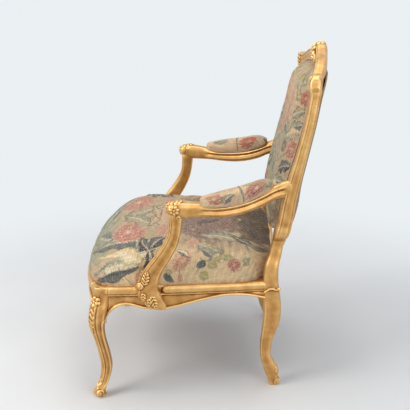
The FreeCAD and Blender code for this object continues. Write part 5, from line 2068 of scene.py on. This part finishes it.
@dataclass
class Trimming:
    """The braid over the linen's edge and the screws of the seat frame.

    Its sizes are in metres, but the places and lengths of the screws are in millimetres.
    """

    pitch: float = 0.0052
    loop: float = 0.0030
    thread: float = 0.0011
    shank: float = 0.0022
    head: float = 0.0044
    head_height: float = 0.0025
    slot: float = 0.0010
    block_screws: tuple[tuple, ...] = (
        ((242.0, -205.0, 312.0), (1, 0, 0), 50.0),
        ((205.0, -245.0, 312.0), (0, -1, 0), 65.0),
        ((209.0, 135.0, 312.0), (1, 0, 0), 45.0),
        ((190.0, 150.0, 312.0), (0, 1, 0), 40.0),
    )
    support_screws: tuple[tuple, ...] = (
        ((268.9, -160.0, 318.0), (1, 0, 0), 37.0),
        ((268.9, -137.0, 300.0), (1, 0, 0), 37.0),
    )

    def places(self) -> list[tuple[str, str, list[tuple]]]:
        """Each set of screws by name, with its node and its screws on both sides."""
        sets = []
        for name, node, rows in (("block_screws", "corner_block_screws", self.block_screws),
                                 ("support_screws", "arm_support_screws", self.support_screws)):
            both = list(rows)
            for (x, y, z), (a, b, c), length in rows:
                both.append(((-x, y, z), (-a, b, c), length))
            sets.append((name, node, both))
        return sets

    def braid(self, points: Array, facing: Array, material: bpy.types.Material) -> bpy.types.Object:
        """A narrow braid of twisted loops along a closed path."""
        work = Repeats("braid", {"Pitch": self.pitch, "Loop": self.loop, "Thread": self.thread})
        curve = work.out("GeometryNodeMeshToCurve", {"Mesh": work.mesh})
        pitch = {"Curve": curve, "Length": work.size("Pitch")}
        line = work.out("GeometryNodeResampleCurve", pitch, mode="LENGTH")
        circle = "GeometryNodeCurvePrimitiveCircle"
        ring = work.out(circle, {"Resolution": 8, "Radius": work.size("Loop")})
        thread = work.out(circle, {"Resolution": 5, "Radius": work.size("Thread")})
        turn = work.facing(work.out("GeometryNodeInputTangent"))
        loops = work.set_on(line, work.swept(ring, thread), turn)
        whole = work.joined(work.swept(line, thread), loops)
        obj = work.finish(whole, material, marked_points("back_braid", points, facing, True))
        obj.data.shade_smooth()
        return obj

    def screws(self, name: str, rows: Sequence[tuple[Sequence[float], Sequence[float], float]],
               material: bpy.types.Material) -> bpy.types.Object:
        """Slotted wood screws.

        Args:
            name: The object's name.
            rows: For each screw where its head starts, the way that it is driven and its length.
            material: Its finish.

        Returns:
            The baked object.
        """
        points, facing, reach = zip(*rows)
        obj = marked_points(name, points, facing)
        store(obj.data, "reach", np.array(reach) * MM)
        work = Repeats(name, {
            "Shank": self.shank, "Head": self.head, "Head height": self.head_height, "Slot": self.slot,
        })
        cylinder, tall, slot = "GeometryNodeMeshCylinder", work.size("Head height"), work.size("Slot")
        shank = work.out(cylinder, {"Vertices": 12, "Radius": work.size("Shank"), "Depth": 1.0})
        shank = work.moved(shank, (0.0, 0.0, 0.5))
        head = work.out(cylinder, {"Vertices": 20, "Radius": work.size("Head"), "Depth": tall})
        half = work.product(tall, 0.5)
        cutter = work.out("GeometryNodeMeshCube", {"Size": work.vector({0: 0.02, 1: slot, 2: slot})})
        cutter = work.moved(cutter, work.vector({2: work.product(half, -1.0)}))
        cut = work.add("GeometryNodeMeshBoolean", operation="DIFFERENCE")
        work.tree.links.new(head, cut.inputs[0])
        work.tree.links.new(cutter, cut.inputs[1])
        head = work.moved(cut.outputs[0], work.vector({2: half}))
        turn, stretch = work.facing(), work.vector({0: 1.0, 1: 1.0, 2: work.stored("reach", "FLOAT")})
        shanks = work.set_on(work.mesh, shank, turn, Scale=stretch)
        heads = work.set_on(work.mesh, head, turn)
        return work.finish(work.joined(shanks, heads), material, obj)


class Nodes:
    """Short calls for building one material's node tree."""

    def __init__(self, name: str) -> None:
        """Start a material with an empty tree but for its shader."""
        self.material = bpy.data.materials.new(name)
        self.material.use_nodes = True
        self.tree = self.material.node_tree
        self.shader = self.tree.nodes["Principled BSDF"]

    def add(self, kind: str, **values: object) -> bpy.types.Node:
        """Add a node of a kind, with its properties or inputs set.

        Args:
            kind: The node's type.
            values: Properties by name, or inputs by their names with _ for a space.

        Returns:
            The node.
        """
        node = self.tree.nodes.new(kind)
        for key, value in values.items():
            if hasattr(node, key):
                setattr(node, key, value)
            else:
                node.inputs[key.replace("_", " ")].default_value = value
        return node

    def link(self, source: Socket, target: Socket) -> None:
        """Join two sockets."""
        self.tree.links.new(source, target)

    def place(self, scale: Sequence[float] = (1, 1, 1)) -> Socket:
        """Object coordinates, stretched."""
        source = self.add("ShaderNodeTexCoord").outputs["Object"]
        mapping = self.add("ShaderNodeMapping")
        mapping.inputs["Scale"].default_value = scale
        self.link(source, mapping.inputs["Vector"])
        return mapping.outputs["Vector"]

    def attribute(self, name: str) -> bpy.types.Node:
        """A mesh attribute."""
        return self.add("ShaderNodeAttribute", attribute_name=name)

    def put(self, socket: Socket, value: object) -> None:
        """Link a socket's source to it, or set its number or its colour."""
        if isinstance(value, Socket):
            self.link(value, socket)
        elif isinstance(value, (int, float)):
            socket.default_value = value
        else:
            socket.default_value = (*value, 1.0)

    def surface(self, **inputs: object) -> None:
        """Link or set the shader's inputs, by their names with _ for a space."""
        for name, value in inputs.items():
            self.put(self.shader.inputs[name.replace("_", " ")], value)

    def wave(self, direction: str, threads: float, distortion: float, vector: Socket,
             detail: float = 2.0) -> Socket:
        """The rise and fall of threads that lie side by side.

        Args:
            direction: X or Y, the way across them.
            threads: How many in a unit.
            distortion: How far they waver.
            vector: Where they are read.
            detail: Detail of their wavering.

        Returns:
            Their value from 0 to 1.
        """
        node = self.add("ShaderNodeTexWave", wave_type="BANDS", bands_direction=direction,
                        Scale=threads / WAVE_THREADS, Distortion=distortion, Detail=detail)
        self.link(vector, node.inputs["Vector"])
        return node.outputs["Fac"]

    def noise(self, scale: float, detail: float = 4.0,
              vector: Socket | None = None) -> Socket:
        """A noise texture's value."""
        node = self.add("ShaderNodeTexNoise")
        node.inputs["Scale"].default_value = scale
        node.inputs["Detail"].default_value = detail
        self.link(vector or self.place(), node.inputs["Vector"])
        return node.outputs["Fac"]

    def math(self, operation: str, a: object, b: object = 0.0) -> Socket:
        """A sum of two numbers or sockets."""
        node = self.add("ShaderNodeMath", operation=operation)
        for socket, value in zip(node.inputs, (a, b)):
            self.put(socket, value)
        return node.outputs[0]

    def ramp(self, factor: Socket,
             stops: Sequence[tuple[float, Sequence[float]]]) -> Socket:
        """Colours along a factor from 0 to 1."""
        node = self.add("ShaderNodeValToRGB")
        elements = node.color_ramp.elements
        while len(elements) < len(stops):
            elements.new(0.5)
        for element, (at, colour) in zip(elements, stops):
            element.position = at
            element.color = (*colour, 1.0)
        self.link(factor, node.inputs["Fac"])
        return node.outputs["Color"]

    def mix(self, factor: object, a: object, b: object, blend: str = "MIX") -> Socket:
        """Two colours mixed."""
        node = self.add("ShaderNodeMix", data_type="RGBA", blend_type=blend)
        for socket, value in ((node.inputs["Factor"], factor), (node.inputs[6], a), (node.inputs[7], b)):
            self.put(socket, value)
        return node.outputs[2]

    def bump(self, height: Socket, strength: float, distance: float) -> None:
        """Press a height into the shader's normal, over any bump that is there."""
        node = self.add("ShaderNodeBump", Strength=strength, Distance=distance)
        self.link(height, node.inputs["Height"])
        normal = self.shader.inputs["Normal"]
        if normal.is_linked:
            self.link(normal.links[0].from_socket, node.inputs["Normal"])
        self.link(node.outputs["Normal"], normal)


@dataclass(frozen=True)
class Gilding:
    """Gold leaf over red bole: burnished with a painted highlight on raised parts, red-brown bole with
    painted shade in the hollows.
    """

    metal: float = 0.82
    # The hollow and shade colours are painted shade for recesses over the bole; the lightest colour is a
    # painted highlight over the burnish.
    hollow: Triple = (0.10, 0.034, 0.010)
    shade: Triple = (0.36, 0.16, 0.040)
    gold: Triple = (0.60, 0.31, 0.095)
    burnish_and_highlight: Triple = (0.90, 0.60, 0.25)
    warm: Triple = (0.52, 0.26, 0.07)

    def material(self) -> bpy.types.Material:
        """Build the finish."""
        n = Nodes("water_gilding")
        relief = n.attribute("relief").outputs["Fac"]
        worn = n.noise(38.0, 6.0)
        wear = n.math("MULTIPLY", n.math("SUBTRACT", worn, 0.5), 0.6)
        level = n.math("ADD", n.math("ADD", n.math("MULTIPLY", relief, 0.42), wear), 0.5)
        # By relief the ramp runs from painted shade in the hollows to a painted highlight on raised parts,
        # over the bole and the burnish.
        stops = [(0.08, self.hollow), (0.30, self.shade), (0.52, self.gold), (0.86, self.burnish_and_highlight)]
        colour = n.ramp(level, stops)
        streak = n.noise(14.0, 3.0, n.place((1.0, 1.0, 0.25)))
        colour = n.mix(n.math("MULTIPLY", streak, 0.35), colour, self.warm)
        bare = n.attribute("bare").outputs["Fac"]
        rough = n.math("ADD", 0.26, n.math("MULTIPLY", n.noise(60.0, 5.0), 0.30))
        n.surface(Base_Color=n.mix(bare, colour, BareBeech().colour(n)),
                  Metallic=n.math("MULTIPLY", self.metal, n.math("SUBTRACT", 1.0, bare)),
                  Roughness=n.math("MAXIMUM", rough, n.math("MULTIPLY", bare, 0.75)))
        n.bump(n.noise(170.0, 6.0), 0.10, 0.0010)
        n.bump(n.noise(30.0, 3.0), 0.16, 0.0025)
        return n.material


@dataclass(frozen=True)
class WovenWool:
    """Tapestry woven in wool, coloured by the cover's own pattern."""

    rib: float = 0.0021

    def material(self) -> bpy.types.Material:
        """Build the finish."""
        n = Nodes("wool_tapestry")
        pattern = n.attribute("pattern").outputs["Color"]
        cloth = n.attribute("cloth").outputs["Vector"]
        ribs = n.wave("X", 1.0 / self.rib, 0.6, cloth)
        threads = n.math("MULTIPLY", ribs, n.wave("Y", 1.6 / self.rib, 0.9, cloth))
        wool = n.noise(420.0, 3.0, cloth)
        lift = n.math("ADD", n.math("MULTIPLY", threads, 0.5), n.math("MULTIPLY", wool, 0.5))
        shade = n.ramp(lift, [(0.0, (0.70, 0.68, 0.66)), (0.6, (1.0, 1.0, 1.0))])
        n.surface(Base_Color=n.mix(1.0, pattern, shade, "MULTIPLY"), Roughness=0.92, Sheen_Weight=0.06,
                  Sheen_Roughness=0.5)
        n.bump(lift, 0.35, 0.0006)
        n.bump(n.attribute("raised").outputs["Fac"], 0.5, 0.0008)
        return n.material


@dataclass(frozen=True)
class PlainCloth:
    """A plain-woven cloth of one yarn: linen, jute or hessian."""

    name: str
    colour: Triple
    thread: float
    depth: float = 0.0004
    stripe: Triple | None = None
    stripe_at: float = 0.020
    stripe_width: float = 0.003

    def material(self) -> bpy.types.Material:
        """Build the finish."""
        n = Nodes(self.name)
        cloth = n.attribute("cloth").outputs["Vector"]
        weave = n.math("MULTIPLY", *(n.wave(way, 1.0 / self.thread, 1.2, cloth, 1.0) for way in ("X", "Y")))
        slub = n.noise(90.0, 4.0, cloth)
        tone = n.math("ADD", n.math("MULTIPLY", weave, 0.5), n.math("MULTIPLY", slub, 0.6))
        dark = tuple(0.62 * c for c in self.colour)
        light = tuple(min(1.25 * c, 1.0) for c in self.colour)
        colour = n.ramp(tone, [(0.15, dark), (0.5, self.colour), (0.85, light)])
        if self.stripe:
            split = n.add("ShaderNodeSeparateXYZ")
            n.link(cloth, split.inputs[0])
            across = n.math("ABSOLUTE", split.outputs[0])
            past = n.math("GREATER_THAN", across, self.stripe_at)
            short = n.math("LESS_THAN", across, self.stripe_at + self.stripe_width)
            colour = n.mix(n.math("MULTIPLY", past, short), colour, self.stripe)
        n.surface(Base_Color=colour, Roughness=0.95)
        n.bump(tone, 0.5, self.depth)
        return n.material


@dataclass(frozen=True)
class BareBeech:
    """Sawn and planed beech, as it is under the seat."""

    pale: Triple = (0.42, 0.25, 0.125)
    dark: Triple = (0.25, 0.135, 0.06)

    def colour(self, n: Nodes) -> Socket:
        """The wood's colour in a material's tree."""
        grain = n.noise(26.0, 6.0, n.place((1.0, 0.16, 3.0)))
        fleck = n.noise(260.0, 2.0, n.place((1.0, 0.3, 1.0)))
        tone = n.math("ADD", n.math("MULTIPLY", grain, 0.8), n.math("MULTIPLY", fleck, 0.2))
        return n.ramp(tone, [(0.35, self.dark), (0.62, self.pale)])

    def material(self) -> bpy.types.Material:
        """Build the finish."""
        n = Nodes("bare_beech")
        n.surface(Base_Color=self.colour(n), Roughness=0.7)
        n.bump(n.noise(200.0, 4.0, n.place((1.0, 0.2, 1.0))), 0.3, 0.0004)
        return n.material


@dataclass(frozen=True)
class AgedSteel:
    """Dull iron of old screws."""

    colour: Triple = (0.17, 0.145, 0.125)
    rust: Triple = (0.16, 0.07, 0.03)

    def material(self) -> bpy.types.Material:
        """Build the finish."""
        n = Nodes("aged_steel")
        rust = n.noise(300.0, 5.0)
        n.surface(Base_Color=n.ramp(rust, [(0.45, self.colour), (0.7, self.rust)]), Metallic=0.8,
                  Roughness=n.math("ADD", 0.35, n.math("MULTIPLY", rust, 0.4)))
        n.bump(rust, 0.2, 0.0003)
        return n.material


@dataclass
class Studio:
    """The pale floor, the soft light and the camera.

    Attributes:
        floor_colour: The floor's colour near the chair.
        backdrop: The colour that it fades into.
        floor_radius: How far the floor goes.
        fade: Distances where the fading starts and ends.
        daylight: The world's light, with its strength.
        lamps: Name, place, size, power and colour of each lamp.
        lit: Where the lamps point.
        eye: The camera's place, then its direction in radians and its lens.
    """

    floor_colour: Triple = (0.73, 0.725, 0.715)
    backdrop: Triple = (0.83, 0.87, 0.895)
    floor_radius: float = 16.0
    fade: tuple[float, float] = (0.6, 1.6)
    daylight: Triple = (0.80, 0.86, 0.95)
    daylight_strength: float = 0.55
    lamps: tuple[tuple, ...] = (
        ("key", (1.2, -2.2, 2.6), 1.6, 58.0, (1.0, 0.97, 0.92)),
        ("fill", (2.6, 1.6, 1.8), 2.0, 30.0, (0.92, 0.96, 1.0)),
        ("top", (-0.4, 0.2, 3.0), 1.8, 25.0, (1.0, 1.0, 1.0)),
    )
    lit: Triple = (0.0, 0.0, 0.45)
    eye: Triple = (2.54299, 0.07746, 1.30299)
    yaw: float = -0.032035
    pitch: float = 0.314572
    roll: float = math.radians(-0.07)
    lens: float = 77.43
    sensor: float = 36.0

    @staticmethod
    def seen(tree: bpy.types.NodeTree) -> Socket:
        """1 for rays that the camera sends, straight or by way of a gloss or glass, and 0 for light."""
        path = tree.nodes.new("ShaderNodeLightPath")
        total = path.outputs["Is Camera Ray"]
        for name in ("Is Glossy Ray", "Is Transmission Ray"):
            node = tree.nodes.new("ShaderNodeMath")
            node.operation = "MAXIMUM"
            tree.links.new(total, node.inputs[0])
            tree.links.new(path.outputs[name], node.inputs[1])
            total = node.outputs[0]
        return total

    def floor(self) -> None:
        """A pale floor all round, which fades into the backdrop's colour and keeps the chair's shadow."""
        turn = turns(64)
        radii = (0.9, 2.4, 6.0, self.floor_radius)
        rings = np.array([[(r * math.cos(t), r * math.sin(t), 0.0) for t in turn] for r in radii])
        points = np.vstack([rings.reshape(-1, 3), [[0.0, 0.0, 0.0]]])
        faces = grid_quads(len(radii), len(turn), True).tolist()
        faces += [(len(points) - 1, (k + 1) % len(turn), k) for k in range(len(turn))]
        mesh = bpy.data.meshes.new("floor")
        mesh.from_pydata(points.tolist(), [], [tuple(face[::-1]) for face in faces])
        obj = new_object("floor", mesh)
        n = Nodes("pale_floor")
        speck = n.noise(3.0, 2.0)
        light = tuple(1.04 * c for c in self.floor_colour)
        n.surface(Base_Color=n.ramp(speck, [(0.3, self.floor_colour), (0.7, light)]), Roughness=0.75)
        away = n.add("ShaderNodeVectorMath", operation="LENGTH")
        n.link(n.place(), away.inputs[0])
        fade = n.add("ShaderNodeMapRange", interpolation_type="SMOOTHSTEP")
        fade.inputs["From Min"].default_value, fade.inputs["From Max"].default_value = self.fade
        n.link(away.outputs["Value"], fade.inputs["Value"])
        glow = n.add("ShaderNodeEmission", Color=(*self.backdrop, 1.0))
        mixed = n.add("ShaderNodeMixShader")
        n.link(n.math("MULTIPLY", fade.outputs["Result"], self.seen(n.tree)), mixed.inputs[0])
        n.link(n.shader.outputs[0], mixed.inputs[1])
        n.link(glow.outputs[0], mixed.inputs[2])
        n.link(mixed.outputs[0], n.tree.nodes["Material Output"].inputs["Surface"])
        mesh.materials.append(n.material)

    def light(self) -> None:
        """Three soft lamps and a pale world."""
        world = bpy.data.worlds.new("studio")
        bpy.context.scene.world = world
        world.use_nodes = True
        tree = world.node_tree
        light = tree.nodes["Background"]
        light.inputs["Color"].default_value = (*self.daylight, 1.0)
        light.inputs["Strength"].default_value = self.daylight_strength
        shown = tree.nodes.new("ShaderNodeBackground")
        shown.inputs["Color"].default_value = (*self.backdrop, 1.0)
        mixed = tree.nodes.new("ShaderNodeMixShader")
        tree.links.new(self.seen(tree), mixed.inputs[0])
        tree.links.new(light.outputs[0], mixed.inputs[1])
        tree.links.new(shown.outputs[0], mixed.inputs[2])
        tree.links.new(mixed.outputs[0], tree.nodes["World Output"].inputs["Surface"])
        for name, place, size, power, colour in self.lamps:
            lamp = bpy.data.lights.new(name, "AREA")
            lamp.size, lamp.energy, lamp.color = size, power, colour
            obj = new_object(name, lamp)
            obj.location = place
            obj.rotation_euler = (Vector(self.lit) - Vector(place)).to_track_quat("-Z", "Y").to_euler()

    def camera(self) -> None:
        """The camera at the photograph's viewing angle."""
        yaw, pitch, roll = self.yaw, self.pitch, self.roll
        level = math.cos(pitch)
        forward = Vector((-math.cos(yaw) * level, math.sin(yaw) * level, -math.sin(pitch)))
        lens = bpy.data.cameras.new("camera")
        lens.lens, lens.sensor_width = self.lens, self.sensor
        obj = new_object("camera", lens)
        right = forward.cross(Vector((0, 0, 1))).normalized()
        up = right.cross(forward)
        turned_right = right * math.cos(roll) + up * math.sin(roll)
        turned_up = up * math.cos(roll) - right * math.sin(roll)
        frame = Matrix((turned_right, turned_up, -forward)).transposed().to_4x4()
        frame.translation = self.eye
        obj.matrix_world = frame
        bpy.context.scene.camera = obj
        bpy.context.scene.view_settings.view_transform = "Standard"


@dataclass
class Armchair:
    """The whole chair: its pieces in order, dressed and riding on its one body."""

    nodes: dict[str, bpy.types.Object]

    def dress(self, obj: bpy.types.Object, material: bpy.types.Material) -> bpy.types.Object:
        """Give a finished piece its material and its slot and let it ride on the body."""
        obj.data.materials.clear()
        obj.data.materials.append(material)
        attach(obj, BODY)
        LOG.info("%s: %d faces", obj.name, len(obj.data.polygons))
        return obj

    def wood(self) -> None:
        """The carved and gilt frame."""
        gilt = Gilding().material()
        plan = SeatPlan()
        moulding = Moulding(plan)
        legs, rails, arms, backs = Legs(), Rails(plan, moulding), Arms(), BackRails()
        both, single = tuple(Side), (None,)
        pieces = (
            (legs.front(plan, moulding), both), (legs.back(), both), (rails.side(), both),
            (arms.support(), both), (arms.rest(), both), (rails.front(), single), (rails.back(), single),
            (backs.crest(), single), (backs.lower(), single),
        )
        for piece, sides in pieces:
            for obj in piece.build(sides):
                if piece.node.endswith("seat_rail"):
                    mark_bare(obj)
                self.dress(obj, gilt)

    def covers(self) -> None:
        """The padded pieces in their tapestry."""
        wool = WovenWool().material()
        work = Upholstery(SeatPlan())
        pieces = ((work.seat(), work.seat_creases), (work.back(), work.back_creases),
                  *((work.arm(side), None) for side in Side))
        for cover, crease in pieces:
            obj = self.dress(cover.build(crease), wool)

    def underwork(self) -> None:
        """The straps, cloths, linen, braid, glue blocks, pegs and screws."""
        under = Underwork(SeatPlan(), Upholstery(SeatPlan()))
        jute = PlainCloth("jute_webbing", (0.36, 0.25, 0.14), 0.0024, 0.0008, (0.20, 0.075, 0.04)).material()
        hessian = PlainCloth("hessian", (0.33, 0.22, 0.115), 0.0016).material()
        linen = PlainCloth("linen", (0.42, 0.275, 0.145), 0.0009, 0.0003).material()
        silk = PlainCloth("silk_braid", (0.42, 0.29, 0.13), 0.0009).material()
        steel, beech = AgedSteel().material(), BareBeech().material()
        side, crest = "side_seat_rail_left", "crest_rail_carved"
        # Piece, finish, slot, node, flat size, area and what it rests on.
        cloths = (
            (under.seat_straps(), jute, "webbing", "seat_webbing", (0.648, 0.510), 0.305, side),
            (under.seat_hessian(), hessian, "hessian", "seat_hessian", (0.580, 0.510), 0.259, "seat_straps"),
            (under.back_straps(), jute, "webbing", "back_webbing", (0.430, 0.545), 0.213, crest),
            (under.back_hessian(), hessian, "hessian", "back_hessian", (0.450, 0.470), 0.198, "back_straps"),
            (under.linen(), linen, "back_linen", "outside_back_cover", (0.450, 0.470), 0.198, crest),
        )
        for obj, material, slot, node, flat, area, rests_on in cloths:
            self.dress(obj, material)
            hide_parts(node)
        trimming = Trimming()
        self.dress(trimming.braid(*under.linen_edge(), silk), silk)
        for name, node, rows in trimming.places():
            screws = trimming.screws(name, rows, steel)
            self.dress(screws, steel)
            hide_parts(node)
        for name, node in self.nodes.items():
            if name.startswith("corner_block_") and name != "corner_block_screws" or name == "joint_pegs":
                node.data.materials.clear()
                node.data.materials.append(beech)


def main() -> None:
    """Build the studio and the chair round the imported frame."""
    logging.basicConfig(level=logging.INFO, format="%(name)s: %(message)s")
    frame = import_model()
    studio = Studio()
    studio.camera()
    studio.floor()
    studio.light()
    chair = Armchair(frame["nodes"])
    chair.wood()
    chair.covers()
    chair.underwork()


if __name__ == "__main__":
    main()
